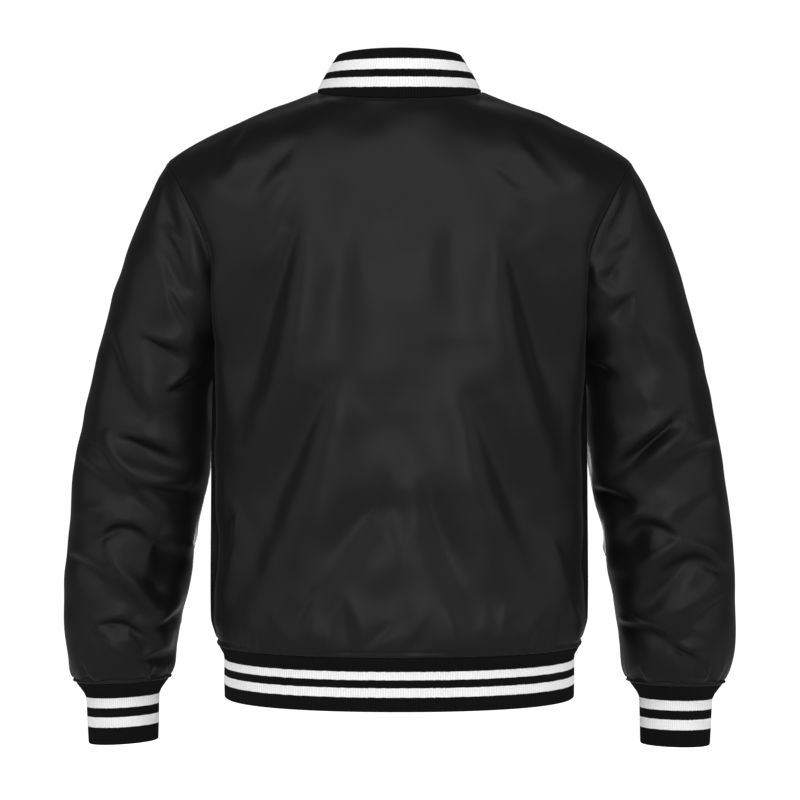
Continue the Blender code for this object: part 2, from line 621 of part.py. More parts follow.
def make_object(name, vertices, faces, material):
    """A mesh object of triangles that face outwards, smooth but for its hard edges."""
    work = bmesh.new()
    made = [work.verts.new(tuple(float(value) for value in vertex)) for vertex in vertices]
    for face in faces:
        work.faces.new([made[index] for index in face])
    bmesh.ops.triangulate(work, faces=[face for face in work.faces if len(face.verts) > 3])
    if signed_volume(work) < 0:
        bmesh.ops.reverse_faces(work, faces=work.faces[:])
    mesh = bpy.data.meshes.new(name)
    work.to_mesh(mesh)
    work.free()
    mesh.materials.append(material)
    mesh.shade_smooth()
    mesh.set_sharp_from_angle(angle=math.radians(50))
    made_object = bpy.data.objects.new(name, mesh)
    bpy.context.scene.collection.objects.link(made_object)
    return made_object


def make_material(finish):
    name, colour, roughness = finish
    material = bpy.data.materials.new(name)
    material.use_nodes = True
    shader = material.node_tree.nodes["Principled BSDF"]
    shader.inputs["Base Color"].default_value = colour
    shader.inputs["Roughness"].default_value = roughness
    shader.inputs["Metallic"].default_value = 0.0
    material.diffuse_color = colour
    return material


# ---------------------------------------------------------------- the pieces
def body_sheets():
    """The back and the two fronts, with their folds and the gathers above the hem."""
    back_half = half_body("back")
    front_half = half_body("front")
    back = Sheet("back_panel", np.concatenate([mirrored(back_half), back_half[:, 1:]], axis=1), CLOTH_WALL)
    left = Sheet("front_left", with_lap(front_half), CLOTH_WALL)
    right = Sheet("front_right", with_lap(front_half) * np.array([-1.0, 1.0, 1.0]), CLOTH_WALL)
    tuck_under(right)
    for sheet in (back, left, right):
        x, z = sheet.grid[..., 0], sheet.grid[..., 2]
        is_back = sheet is back
        depth = fold_depth(x, z, BACK_FOLDS if is_back else FRONT_FOLDS)
        depth += pucker_depth(x, z, BACK_PUCKERS if is_back else FRONT_PUCKERS)
        rows, columns = x.shape
        row = np.arange(rows)[:, None]
        place = np.arange(columns)[None, :]
        from_side = np.minimum(place, columns - 1 - place) if is_back else columns - 1 - place
        fade = ease(row / 4) * ease((rows - 1 - row) / 1) * ease(from_side / 3)
        if not is_back:
            fade = fade * ease((np.abs(x) - LAP_RAMP_END) / 0.02)
        sheet.push(depth * fade)
    return back, left, right


def sleeve_sheets():
    """Both sleeves: one form, mirrored, each with its own folds."""
    stations = SLEEVE[-1].station * np.linspace(0, 1, SLEEVE_RINGS + 1)[:, None]
    around = np.linspace(0, 360, 2 * ARMHOLE_STEPS + 1)[None, :-1]
    grid = sleeve_point(stations, around)
    facing = np.sin(np.radians(around))
    fade = ease(np.abs(facing) / 0.6) * ease(stations / 0.8) * ease((SLEEVE[-1].station - stations) / 1.5)
    sheets = []
    for name, flip, at_back, at_front in (
        ("sleeve_left", 1.0, SLEEVE_LEFT_BACK, SLEEVE_LEFT_FRONT),
        ("sleeve_right", -1.0, SLEEVE_RIGHT_BACK, SLEEVE_RIGHT_FRONT),
    ):
        sheet = Sheet(name, grid * np.array([flip, 1.0, 1.0]), CLOTH_WALL, wraps=True)
        x, z = sheet.grid[..., 0], sheet.grid[..., 2]
        depth = np.where(facing > 0, fold_depth(x, z, at_back), fold_depth(x, z, at_front))
        sheet.push(depth * fade)
        sheets.append(sheet)
    return sheets


def collar_sheet(back, left, right):
    """The collar: a band that stands on the neck seam and runs down to rounded ends at the front.

    It has two columns for each one of the panels, and its foot keeps to the panels' own straight edges.
    """
    middle = back.grid.shape[1] // 2
    behind = back.grid[0, middle - NECK_COLUMNS:middle + NECK_COLUMNS + 1][::-1]
    seam = np.concatenate([left.grid[0, 1:NECK_COLUMNS + 2], behind[1:-1], right.grid[0, NECK_COLUMNS + 1:0:-1]])
    base = np.empty((2 * len(seam) - 1, 3))
    base[::2] = seam
    base[1::2] = (seam[1:] + seam[:-1]) / 2
    depth = np.where(base[:, 1] > 0, NECK_BACK_DEPTH, NECK_FRONT_DEPTH)
    turn = np.arctan2(base[:, 0] / NECK_HALF_WIDTH, -base[:, 1] / depth)
    in_back = np.cos(turn) < 0
    depth = np.where(in_back, COLLAR_TOP_BACK_DEPTH, COLLAR_TOP_FRONT_DEPTH)
    drop = np.where(in_back, 0.0, COLLAR_TOP_FRONT_DROP) * np.abs(np.cos(turn)) ** 1.4
    top = points(COLLAR_TOP_HALF_WIDTH * np.sin(turn), -depth * np.cos(turn), COLLAR_TOP_Z - drop)
    from_end = NECK_HALF_WIDTH * np.abs(turn) / COLLAR_END_RADIUS
    rounding = np.sqrt(1 - (1 - np.clip(from_end, 0, 1)) ** 2)
    height = COLLAR_END_HEIGHT + (1 - COLLAR_END_HEIGHT) * rounding
    outward = unit(base * np.array([1.0, 1.0, 0.0]))
    rows = []
    for up in np.linspace(0, 1, COLLAR_ROWS + 1):
        reach = (up * height)[:, None]
        rows.append(base + (top - base) * reach + outward * COLLAR_BULGE * 4 * reach * (1 - reach))
    return Sheet("collar_rib", np.array(rows), RIB_WALL)


def match_collar_foot(collar):
    """Between the panels' own seam points, the collar's foot takes the mean of their mitres."""
    for values in (collar.normals, collar.mitre):
        values[0, 1::2] = (values[0, :-1:2] + values[0, 2::2]) / 2
    collar.normals[0] = unit(collar.normals[0])
    for end, inner in ((0, 1), (-1, -2)):
        share = COLLAR_END_GAP / np.abs(collar.grid[0, inner, 0] - collar.grid[0, end, 0])
        collar.grid[:, end] += share * (collar.grid[:, inner] - collar.grid[:, end])


def band_rows(line, outward, bands, down):
    """A rib band hung below a seam line and drawn in from it."""
    return np.array([line + down * band.down - outward * band.inset for band in bands])


def hem_sheet(back, left, right):
    """The hem band: one strip round the body whose ends lap as the fronts do."""
    behind = back.grid[-1, ::-1]
    line = np.concatenate([left.grid[-1], behind[1:-1], right.grid[-1, ::-1]])
    outward = unit(np.cross(np.gradient(line, axis=0), np.array([0.0, 0.0, 1.0])))
    if np.sum(outward * line) < 0:
        outward = -outward
    return Sheet("hem_rib", band_rows(line, outward, HEM_BAND, np.array([0.0, 0.0, -1.0])), RIB_WALL)


def cuff_sheet(sleeve, name, flip):
    """A cuff: a straight tube of rib that draws the sleeve's end in."""
    line = sleeve.grid[-1]
    middle = line.mean(axis=0)
    outward = unit((line - middle) * np.array([1.0, 1.0, 0.0]))
    down = np.array([-CUFF_LEAN * flip, 0.0, -1.0])
    return Sheet(name, band_rows(line, outward, CUFF_BAND, down), RIB_WALL, wraps=True)


def snap_cap(name, centre, normal, material):
    """A domed snap cap whose flat back lies just off the cloth."""
    sides = 12
    profile = ((SNAP_RADIUS, 0.0), (SNAP_RADIUS, 0.0012), (0.8 * SNAP_RADIUS, 0.0025), (0.4 * SNAP_RADIUS, 0.0031))
    across = unit(np.cross(normal, np.array([0.0, 0.0, 1.0])))
    up = np.cross(across, normal)
    vertices = []
    for radius, height in profile:
        for k in range(sides):
            turn = 2 * math.pi * k / sides
            spoke = across * math.cos(turn) + up * math.sin(turn)
            vertices.append(centre + normal * (SEAM_GAP + height) + spoke * radius)
    faces = [tuple(reversed(range(sides))), tuple(range(3 * sides, 4 * sides))]
    for ring in range(len(profile) - 1):
        for k in range(sides):
            a = ring * sides + k
            b = ring * sides + (k + 1) % sides
            faces.append((a, b, b + sides, a + sides))
    return make_object(name, vertices, faces, material)


def snap_places(front, hem):
    """Where the caps sit: down the centre line of the left front, and one on the hem band."""
    line = front.grid[:, 1]
    normals = front.normals[:, 1]
    places = []
    for height in SNAP_HEIGHTS:
        point = [np.interp(-height, -line[:, 2], line[:, axis]) for axis in range(3)]
        normal = [np.interp(-height, -line[:, 2], normals[:, axis]) for axis in range(3)]
        places.append((np.array(point), unit(np.array(normal))))
    places.append((hem.grid[3, 1], hem.normals[3, 1]))
    return places


def main():
    for old in list(bpy.data.objects):
        bpy.data.objects.remove(old, do_unlink=True)
    satin = make_material(SATIN)
    rib = make_material(RIB_KNIT)
    enamel = make_material(SNAP_ENAMEL)

    back, left, right = body_sheets()
    sleeves = sleeve_sheets()
    collar = collar_sheet(back, left, right)
    hem = hem_sheet(back, left, right)
    cuffs = [cuff_sheet(sleeves[0], "cuff_left", 1.0), cuff_sheet(sleeves[1], "cuff_right", -1.0)]
    places = snap_places(left, hem)

    share_normals([back, left, right, collar] + sleeves)
    match_collar_foot(collar)
    level = np.array([0.0, 0.0, 1.0])
    for sheet in (back, left, right):
        sheet.flatten_edge(np.s_[-1], level)
    hem.flatten_edge(np.s_[0], level)
    for sleeve, cuff in zip(sleeves, cuffs):
        ring = sleeve.grid[-1]
        plane = unit(np.cross(ring[0] - ring[ARMHOLE_STEPS], np.array([0.0, 1.0, 0.0])))
        sleeve.flatten_edge(np.s_[-1], plane)
        cuff.flatten_edge(np.s_[0], plane)

    for sheet in [back, left, right] + sleeves:
        sheet.trim()
        sheet.solid(satin)
    for sheet in [collar, hem] + cuffs:
        sheet.trim()
        sheet.solid(rib)
    for number, (centre, normal) in enumerate(places, start=1):
        snap_cap(f"snap_{number}", centre, normal, enamel)


main()
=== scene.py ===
import math
from collections import namedtuple

import bmesh
import bpy
import numpy as np
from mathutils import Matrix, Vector


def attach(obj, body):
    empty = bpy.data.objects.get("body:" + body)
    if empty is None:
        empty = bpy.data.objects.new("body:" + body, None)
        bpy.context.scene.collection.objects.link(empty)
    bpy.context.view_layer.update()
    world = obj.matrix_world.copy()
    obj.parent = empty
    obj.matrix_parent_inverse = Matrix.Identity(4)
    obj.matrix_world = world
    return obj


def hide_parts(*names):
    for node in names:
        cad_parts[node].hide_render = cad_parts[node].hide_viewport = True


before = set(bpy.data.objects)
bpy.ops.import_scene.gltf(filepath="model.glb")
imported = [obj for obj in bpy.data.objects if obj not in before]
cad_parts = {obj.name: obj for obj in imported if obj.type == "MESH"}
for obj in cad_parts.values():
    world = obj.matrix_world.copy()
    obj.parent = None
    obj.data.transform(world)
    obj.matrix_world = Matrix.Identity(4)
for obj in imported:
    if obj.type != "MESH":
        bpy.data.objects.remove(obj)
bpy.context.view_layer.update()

# ------------------------------------------------------------------------------------------------------
# BACK PANEL. One piece of satin from the neck and shoulder seams to the hem band, full enough to swell
# over the armholes at its sides and to be gathered at the hem. Its edges are turned under at each seam.
WALL = 0.0016
SHOULDER_TIP_Z = -0.0717
ARMPIT_Z = -0.278
HEM_SEAM_Z = -0.588
NECK_HALF_WIDTH = 0.088
NECK_BACK_DEPTH = 0.0725
NECK_FRONT_DEPTH = 0.085
NECK_SIDE_Z = 0.0036
NECK_BACK_Z = -0.0113
NECK_FRONT_Z = -0.0724
NECK_EASE = 0.31
HEM_RISE = 0.0033
HEM_SAG = 0.0060
HEM_RISE_LEVEL = 1.2
HEM_RISE_RUN = 0.8
RELAX_REACH = 0.35
RELAX_FADE = 0.2
RELAX_SIDE = 0.12
RELAX_PASSES = 160
BODY_NECK_COLUMNS = 30
BODY_SHOULDER_COLUMNS = 56
BODY_UPPER_ROWS = 100
BODY_LOWER_ROWS = 112

Armhole = namedtuple("Armhole", "angle back_x back_y front_x front_y")
ARMHOLE = [
    Armhole(0, 0.2475, 0.000, 0.2475, 0.000),
    Armhole(20, 0.2438, 0.026, 0.2430, -0.025),
    Armhole(40, 0.2338, 0.048, 0.2310, -0.046),
    Armhole(60, 0.2193, 0.064, 0.2140, -0.062),
    Armhole(77, 0.2048, 0.070, 0.1990, -0.069),
    Armhole(90, 0.1965, 0.069, 0.1895, -0.070),
    Armhole(105, 0.1905, 0.063, 0.1845, -0.067),
    Armhole(120, 0.1875, 0.055, 0.1830, -0.060),
    Armhole(135, 0.1868, 0.044, 0.1835, -0.049),
    Armhole(150, 0.1874, 0.031, 0.1850, -0.034),
    Armhole(165, 0.1886, 0.016, 0.1874, -0.017),
    Armhole(180, 0.1895, 0.000, 0.1895, 0.000),
]

SideSeam = namedtuple("SideSeam", "level x y z")
SIDE_SEAM = [
    SideSeam(1.00, 0.1895, 0.000, ARMPIT_Z),
    SideSeam(1.08, 0.1993, 0.005, -0.302),
    SideSeam(1.25, 0.2004, 0.012, -0.357),
    SideSeam(1.50, 0.2008, 0.016, -0.437),
    SideSeam(1.75, 0.2012, 0.018, -0.518),
    SideSeam(1.88, 0.2008, 0.018, -0.558),
    SideSeam(1.95, 0.1972, 0.016, -0.575),
    SideSeam(2.00, 0.1926, 0.012, HEM_SEAM_Z),
]

Section = namedtuple("Section", "level centre_y centre_z reach drop out turn lift")
BACK = [
    Section(0.000, 0.0000, 0.0475, 0.100, -0.058, -0.0539, 0.000, 0.0437),
    Section(0.083, 0.0340, 0.0120, 0.100, -0.010, -0.0450, 0.008, 0.0330),
    Section(0.167, 0.0620, -0.0030, 0.103, -0.008, -0.0350, 0.018, 0.0300),
    Section(0.250, 0.0830, -0.0270, 0.107, -0.006, -0.0200, 0.028, 0.0270),
    Section(0.333, 0.0985, -0.0560, 0.112, -0.005, -0.0040, 0.035, 0.0220),
    Section(0.417, 0.1095, -0.0870, 0.116, -0.003, 0.0100, 0.037, 0.0160),
    Section(0.500, 0.1165, -0.1190, 0.118, -0.002, 0.0190, 0.040, 0.0140),
    Section(0.667, 0.1240, -0.1760, 0.120, 0.000, 0.0460, 0.048, 0.0100),
    Section(0.833, 0.1260, -0.2310, 0.120, 0.000, 0.0480, 0.060, 0.0050),
    Section(1.000, 0.1250, -0.2820, 0.120, 0.000, 0.0420, 0.078, 0.0000),
    Section(1.250, 0.1210, -0.3600, 0.118, 0.000, 0.0100, 0.078, 0.0000),
    Section(1.500, 0.1190, -0.4400, 0.116, 0.000, 0.0020, 0.072, 0.0000),
    Section(1.750, 0.1205, -0.5200, 0.116, 0.000, 0.0010, 0.072, 0.0000),
    Section(1.900, 0.1250, -0.5660, 0.117, 0.000, 0.0000, 0.074, 0.0000),
    Section(2.000, 0.1225, HEM_SEAM_Z, 0.112, 0.000, 0.0000, 0.070, 0.0000),
]
FRONT = [
    Section(0.000, 0.0000, 0.0475, 0.100, -0.058, -0.0539, 0.000, 0.0437),
    Section(0.083, -0.0300, 0.0020, 0.100, -0.008, -0.0450, -0.008, 0.0330),
    Section(0.167, -0.0550, -0.0280, 0.103, 0.000, -0.0350, -0.018, 0.0300),
    Section(0.250, -0.0770, -0.0600, 0.107, 0.004, -0.0200, -0.028, 0.0270),
    Section(0.333, -0.0960, -0.0920, 0.110, 0.004, -0.0060, -0.034, 0.0200),
    Section(0.417, -0.1130, -0.1220, 0.113, 0.002, 0.0060, -0.038, 0.0140),
    Section(0.500, -0.1270, -0.1520, 0.116, 0.000, 0.0130, -0.044, 0.0100),
    Section(0.667, -0.1400, -0.2000, 0.118, 0.000, 0.0180, -0.052, 0.0060),
    Section(0.833, -0.1445, -0.2450, 0.118, 0.000, 0.0100, -0.062, 0.0030),
    Section(1.000, -0.1450, -0.2870, 0.118, 0.000, -0.0040, -0.078, 0.0000),
    Section(1.250, -0.1420, -0.3630, 0.117, 0.000, -0.0060, -0.080, 0.0000),
    Section(1.500, -0.1380, -0.4410, 0.116, 0.000, -0.0040, -0.080, 0.0000),
    Section(1.750, -0.1360, -0.5200, 0.116, 0.000, -0.0020, -0.080, 0.0000),
    Section(1.900, -0.1390, -0.5660, 0.117, 0.000, 0.0000, -0.082, 0.0000),
    Section(2.000, -0.1330, HEM_SEAM_Z, 0.112, 0.000, 0.0000, -0.078, 0.0000),
]


def column(table, name):
    return np.array([getattr(row, name) for row in table])


def smooth(table, key, name, at):
    """A gentle curve through one column of a table, which never overshoots a row."""
    x = column(table, key)
    y = column(table, name)
    step = np.diff(x)
    slope = np.diff(y) / step
    tangent = np.zeros_like(y)
    tangent[0] = slope[0]
    tangent[-1] = slope[-1]
    for i in range(1, len(y) - 1):
        if slope[i - 1] * slope[i] > 0:
            before = 2 * step[i] + step[i - 1]
            after = step[i] + 2 * step[i - 1]
            tangent[i] = (before + after) / (before / slope[i - 1] + after / slope[i])
    at = np.asarray(at, dtype=float)
    i = np.clip(np.searchsorted(x, at, side="right") - 1, 0, len(x) - 2)
    u = (at - x[i]) / step[i]
    low = (1 + 2 * u) * (1 - u) ** 2 * y[i] + u * (1 - u) ** 2 * step[i] * tangent[i]
    high = u * u * (3 - 2 * u) * y[i + 1] + u * u * (u - 1) * step[i] * tangent[i + 1]
    return low + high


def ease(u):
    u = np.clip(u, 0.0, 1.0)
    return u * u * (3 - 2 * u)


def points(x, y, z):
    return np.stack(np.broadcast_arrays(x, y, z), axis=-1)


def unit(vectors):
    return vectors / np.maximum(np.linalg.norm(vectors, axis=-1, keepdims=True), 1e-12)


def armhole_point(side, angle):
    middle = (SHOULDER_TIP_Z + ARMPIT_Z) / 2
    half = (SHOULDER_TIP_Z - ARMPIT_Z) / 2
    z = middle + half * np.cos(np.radians(angle))
    x, y = [smooth(ARMHOLE, "angle", side + axis, angle) for axis in ("_x", "_y")]
    return points(x, y, z)


def body_point(side, level, across):
    """The left half of the back or front: across is 0 on the centre line and 1 at the armhole or side."""
    level, across = np.broadcast_arrays(level, across)
    table = BACK if side == "back" else FRONT
    get = {name: smooth(table, "level", name, level) for name in Section._fields[1:]}
    below = np.maximum(level, 1.0)
    seam = points(*[smooth(SIDE_SEAM, "level", name, below) for name in ("x", "y", "z")])
    edge = np.where((level <= 1.0)[..., None], armhole_point(side, 180 * np.minimum(level, 1.0)), seam)
    zero = np.zeros_like(level)
    centre = points(zero, get["centre_y"], get["centre_z"])
    a = centre + points(get["reach"], zero, get["drop"])
    b = edge + points(get["out"], get["turn"], get["lift"])
    u = across[..., None]
    v = 1 - u
    return v ** 3 * centre + 3 * v * v * u * a + 3 * v * u * u * b + u ** 3 * edge


def neck_point(turn):
    """The neck seam by angle: 0 at the centre front and 180 at the centre back."""
    back = np.cos(turn) < 0
    depth = np.where(back, NECK_BACK_DEPTH, NECK_FRONT_DEPTH)
    end_z = np.where(back, NECK_BACK_Z, NECK_FRONT_Z)
    z = NECK_SIDE_Z + (end_z - NECK_SIDE_Z) * np.abs(np.cos(turn))
    return points(NECK_HALF_WIDTH * np.sin(turn), -depth * np.cos(turn), z)


def hem_rise(y, depth):
    """The hem seam hangs lowest at the centre and climbs a little towards the side seams."""
    return HEM_RISE - HEM_SAG * np.clip(np.abs(y) / depth, 0, 1)


def bisect(low, high, is_above):
    for _ in range(36):
        middle = (low + high) / 2
        above = is_above(middle)
        high = np.where(above, middle, high)
        low = np.where(above, low, middle)
    return (low + high) / 2


def finer_ends(steps, at_start=True, at_end=True):
    """Adds close steps at the ends of a run, for the turned edge of the cloth."""
    start = steps[0] + (steps[1] - steps[0]) * np.array([0.0, 0.18, 0.40, 0.68]) if at_start else steps[:1]
    end = steps[-1] + (steps[-2] - steps[-1]) * np.array([0.68, 0.40, 0.18, 0.0]) if at_end else steps[-1:]
    return np.concatenate([start, steps[1:-1], end])


def half_body(side):
    """Half the back, or half a front, cut out at the neck seam."""
    zero = np.zeros(1)
    neck_end = bisect(zero, zero + 1, lambda u: body_point("back", zero, u)[..., 0] > NECK_HALF_WIDTH)[0]
    along = np.linspace(0, 1, BODY_NECK_COLUMNS + 1)
    neck = neck_end * (0.7 * np.sin(along * math.pi / 2) + 0.3 * along)
    beyond = finer_ends(np.linspace(0, 1, BODY_SHOULDER_COLUMNS + 1), at_start=False)[1:]
    shoulder = neck_end + (1 - neck_end) * beyond
    depth = NECK_BACK_DEPTH if side == "back" else NECK_FRONT_DEPTH

    def outside_neck(level):
        p = body_point(side, level, neck)
        return (p[..., 0] / NECK_HALF_WIDTH) ** 2 + (p[..., 1] / depth) ** 2 > 1

    start = bisect(np.zeros_like(neck), np.zeros_like(neck) + 0.6, outside_neck)
    start[-1] = 0.0
    start = np.concatenate([start, np.zeros(len(shoulder))])
    across = np.concatenate([neck, shoulder])
    upper = finer_ends(np.linspace(0, 1, BODY_UPPER_ROWS + 1), at_end=False)[:, None]
    lower = finer_ends(np.linspace(1, 2, BODY_LOWER_ROWS + 1), at_start=False)[1:, None]
    level = np.concatenate([start + (1 - start) * upper, lower + 0 * across])
    grid = body_point(side, level, across + 0 * level)
    turn = np.arctan2(grid[0, :len(neck), 0] / NECK_HALF_WIDTH, -grid[0, :len(neck), 1] / depth)
    follow = np.clip(1 - upper / NECK_EASE, 0, 1) ** 2
    grid[:len(upper), :len(neck)] += follow[..., None] * (neck_point(turn) - grid[0, :len(neck)])
    hem_depth = np.abs(grid[-1, 0, 1])
    grid[..., 2] += ease((level - HEM_RISE_LEVEL) / HEM_RISE_RUN) ** 2 * hem_rise(grid[-1:, :, 1], hem_depth)
    relax = ease((RELAX_REACH - np.abs(level - 1.0)) / RELAX_FADE) * ease((1 - across) / RELAX_SIDE)
    for _ in range(RELAX_PASSES):
        grid[1:-1] += 0.5 * relax[1:-1, :, None] * ((grid[:-2] + grid[2:]) / 2 - grid[1:-1])
    return grid


def outward_normals(grid, wraps=False):
    down = np.gradient(grid, axis=0)
    if wraps:
        around = (np.roll(grid, -1, axis=1) - np.roll(grid, 1, axis=1)) / 2
        hint = grid - grid.mean(axis=1, keepdims=True)
    else:
        around = np.gradient(grid, axis=1)
        hint = grid - np.array([0.0, 0.0, -0.3])
    normals = unit(np.cross(around, down))
    return normals if np.sum(normals * hint) > 0 else -normals


def from_edge(grid, edge):
    """The distance of every point of a grid from one of its edges, along the cloth."""
    across = grid.swapaxes(0, 1)
    turned = {"top": grid, "bottom": grid[::-1], "left": across, "right": across[::-1]}[edge]
    run = np.linalg.norm(np.diff(turned, axis=0), axis=-1)
    away = np.concatenate([np.zeros((1, run.shape[1])), np.cumsum(run, axis=0)])
    return {"top": away, "bottom": away[::-1], "left": away.T, "right": away[::-1].T}[edge]


# A fold lies on a curve through its start, middle and end, seen square to the X-Z plane. It falls away to
# each side over its width. Sharp is 2 for a soft one and nearer 1 for a crease. A trough also leans: its
# upper or inner side stands out over the lower or outer one, as cloth does that hangs from above.
Fold = namedtuple("Fold", "start_x start_z mid_x mid_z end_x end_z width depth sharp")
FOLD_POINTS = 17
RIDGE_REACH = 4
TROUGH_REACH = 10
TAPER_START = 0.08
TAPER_RUN = 0.84
TAPER_POWER = 0.8
START_WIDTH = 0.48
WIDENING = 1.05
TROUGH_SINK = 0.30
TROUGH_LEAN = 1.7
LEAN_SHARP = 1.4
BACK_FOLD_GAIN = 1.75
BACK_FOLDS = [
    Fold(0.105, -0.155, 0.131, -0.261, 0.167, -0.385, 0.0288, -0.0110, 2.0),
    Fold(-0.109, -0.172, -0.134, -0.272, -0.175, -0.415, 0.0288, -0.0112, 2.0),
    Fold(0.073, -0.316, 0.117, -0.429, 0.162, -0.546, 0.0345, -0.0106, 2.0),
    Fold(-0.074, -0.333, -0.110, -0.439, -0.153, -0.539, 0.0330, -0.0102, 2.0),
    Fold(0.013, -0.419, 0.044, -0.480, 0.090, -0.542, 0.0260, -0.0050, 2.0),
    Fold(-0.023, -0.419, -0.042, -0.494, -0.074, -0.566, 0.0237, -0.0049, 2.0),
    Fold(0.032, -0.441, 0.003, -0.431, -0.026, -0.441, 0.0247, -0.0030, 2.0),
    Fold(0.046, -0.158, 0.052, -0.234, 0.064, -0.316, 0.0260, -0.0017, 2.0),
    Fold(-0.049, -0.152, -0.042, -0.203, -0.037, -0.261, 0.0252, -0.0018, 2.0),
    Fold(0.112, -0.069, 0.136, -0.100, 0.162, -0.131, 0.0174, -0.0022, 2.0),
    Fold(0.162, -0.042, 0.177, -0.069, 0.193, -0.100, 0.0133, -0.0019, 2.0),
    Fold(-0.097, -0.085, -0.122, -0.107, -0.153, -0.128, 0.0133, -0.0017, 2.0),
    Fold(-0.127, -0.056, -0.150, -0.083, -0.175, -0.110, 0.0174, -0.0022, 2.0),
    Fold(-0.116, -0.152, -0.150, -0.193, -0.182, -0.248, 0.0174, -0.0019, 2.0),
    Fold(0.102, -0.107, 0.136, -0.162, 0.171, -0.220, 0.0182, -0.0019, 2.0),
    Fold(0.088, -0.528, 0.100, -0.556, 0.104, -0.583, 0.0130, -0.0024, 2.0),
    Fold(0.054, -0.535, 0.049, -0.556, 0.046, -0.583, 0.0103, -0.0020, 2.0),
    Fold(0.003, -0.556, 0.018, -0.570, 0.036, -0.586, 0.0069, -0.0013, 1.9),
    Fold(-0.025, -0.552, -0.017, -0.570, -0.006, -0.586, 0.0069, -0.0013, 1.9),
    Fold(-0.092, -0.542, -0.096, -0.566, -0.098, -0.586, 0.0103, -0.0017, 2.0),
    Fold(-0.110, -0.539, -0.105, -0.563, -0.101, -0.586, 0.0069, 0.0013, 2.0),
    Fold(-0.169, -0.474, -0.181, -0.498, -0.187, -0.522, 0.0137, -0.0024, 2.0),
    Fold(0.183, -0.443, 0.184, -0.463, 0.188, -0.484, 0.0103, -0.0016, 2.0),
    Fold(0.173, -0.441, 0.179, -0.470, 0.183, -0.508, 0.0055, 0.0014, 2.0),
    Fold(-0.181, -0.535, -0.187, -0.552, -0.190, -0.573, 0.0055, 0.0011, 2.0),
    Fold(0.131, -0.549, 0.126, -0.570, 0.117, -0.586, 0.0089, -0.0016, 2.0),
    Fold(-0.146, -0.552, -0.138, -0.571, -0.133, -0.586, 0.0089, -0.0016, 2.0),
    Fold(-0.047, -0.539, -0.056, -0.563, -0.057, -0.586, 0.0082, 0.0014, 2.0),
]


def fold_depth(x, z, folds, outwards):
    """How far the folds push the cloth out. They lean outwards from the centre line, or else downwards."""
    total = np.zeros_like(x)
    for fold in folds:
        start = np.array([fold.start_x, fold.start_z])
        end = np.array([fold.end_x, fold.end_z])
        handle = 2 * np.array([fold.mid_x, fold.mid_z]) - (start + end) / 2
        u = np.linspace(0, 1, FOLD_POINTS)[:, None]
        path = (1 - u) ** 2 * start + 2 * u * (1 - u) * handle + u * u * end
        reach = (TROUGH_REACH if fold.depth < 0 else RIDGE_REACH) * fold.width
        near = (x > path[:, 0].min() - reach) & (x < path[:, 0].max() + reach)
        near &= (z > path[:, 1].min() - reach) & (z < path[:, 1].max() + reach)
        px, pz = x[near], z[near]
        nearest = np.full(px.shape, np.inf)
        along = np.zeros_like(px)
        beside = np.zeros_like(px)
        chord = end - start
        if outwards:
            flip = np.sign(-chord[1] * np.sign(fold.mid_x) + 1e-9)
        else:
            flip = -np.sign(chord[0] + 1e-9)
        for i in range(len(path) - 1):
            run = path[i + 1] - path[i]
            t = np.clip(((px - path[i][0]) * run[0] + (pz - path[i][1]) * run[1]) / (run @ run), 0, 1)
            dx, dz = px - path[i][0] - t * run[0], pz - path[i][1] - t * run[1]
            away = np.hypot(dx, dz)
            closer = away < nearest
            side = flip * (dz * run[0] - dx * run[1]) / np.linalg.norm(run)
            nearest = np.where(closer, away, nearest)
            beside = np.where(closer, side, beside)
            along = np.where(closer, (i + t) / (len(path) - 1), along)
        tapered = np.sin(math.pi * (TAPER_START + TAPER_RUN * along)) ** TAPER_POWER
        wide = fold.width * (START_WIDTH + WIDENING * along)
        profile = np.exp(-(nearest / wide) ** fold.sharp)
        if fold.depth < 0:
            leaning = TROUGH_LEAN * beside / wide * np.exp(-(nearest / wide) ** LEAN_SHARP)
            profile = TROUGH_SINK * profile + leaning
        total[near] += fold.depth * tapered * profile
    return total


CRUMPLE_WAVES = 26
CRUMPLE_GAIN = 1.6


def crumple(x, y, z, seed, depth=0.00016, shortest=0.030, longest=0.090):
    """The slight unevenness of satin that has been worn: many weak waves that cross at all angles."""
    chance = np.random.default_rng(seed)
    total = np.zeros_like(x)
    for _ in range(CRUMPLE_WAVES):
        way = unit(chance.normal(size=3) * np.array([1.0, 0.6, 0.8]))
        length = shortest * (longest / shortest) ** chance.random()
        phase = chance.random() * 2 * math.pi
        run = way[0] * x + way[1] * y + way[2] * z
        total += length / longest * np.sin(2 * math.pi * run / length + phase)
    return depth * CRUMPLE_GAIN * total


def gathers(along, above, seed, depth=0.0006, height=0.022):
    """Small gathers that stand above a seam, each of its own width and height."""
    chance = np.random.default_rng(seed)
    total = np.zeros_like(along)
    for length in (0.011, 0.017, 0.028):
        phase = chance.random() * 2 * math.pi
        sway = 1.5 * np.sin(2 * math.pi * along / (4.3 * length) + phase)
        total += np.sin(2 * math.pi * along / length + sway) * length / 0.020
    return depth * total * ease(above / 0.004) * np.exp(-(above / height) ** 1.5)


def turned_edge(away, deep=0.0014, wide=0.0024):
    """How far the cloth rolls under at a seam."""
    inside = np.clip(1 - away / wide, 0, 1)
    return -deep * (1 - np.sqrt(1 - inside ** 2))


def welt(above, deep=0.0014, high=0.0056, swollen=0.0015, stitch=0.0011):
    """The hem seam: the last half centimetre swells over the rib, below a line of stitches that draws in."""
    swell = swollen * np.sin(math.pi * np.clip(above / high, 0, 1))
    groove = -deep * np.exp(-((above - high) / stitch) ** 2)
    return swell + groove


def grown(distances, runs):
    """0 at a seam, and 1 where every distance from a seam has passed its run."""
    share = 1.0
    for distance, run in zip(distances, runs):
        share = share * ease(distance / run)
    return share


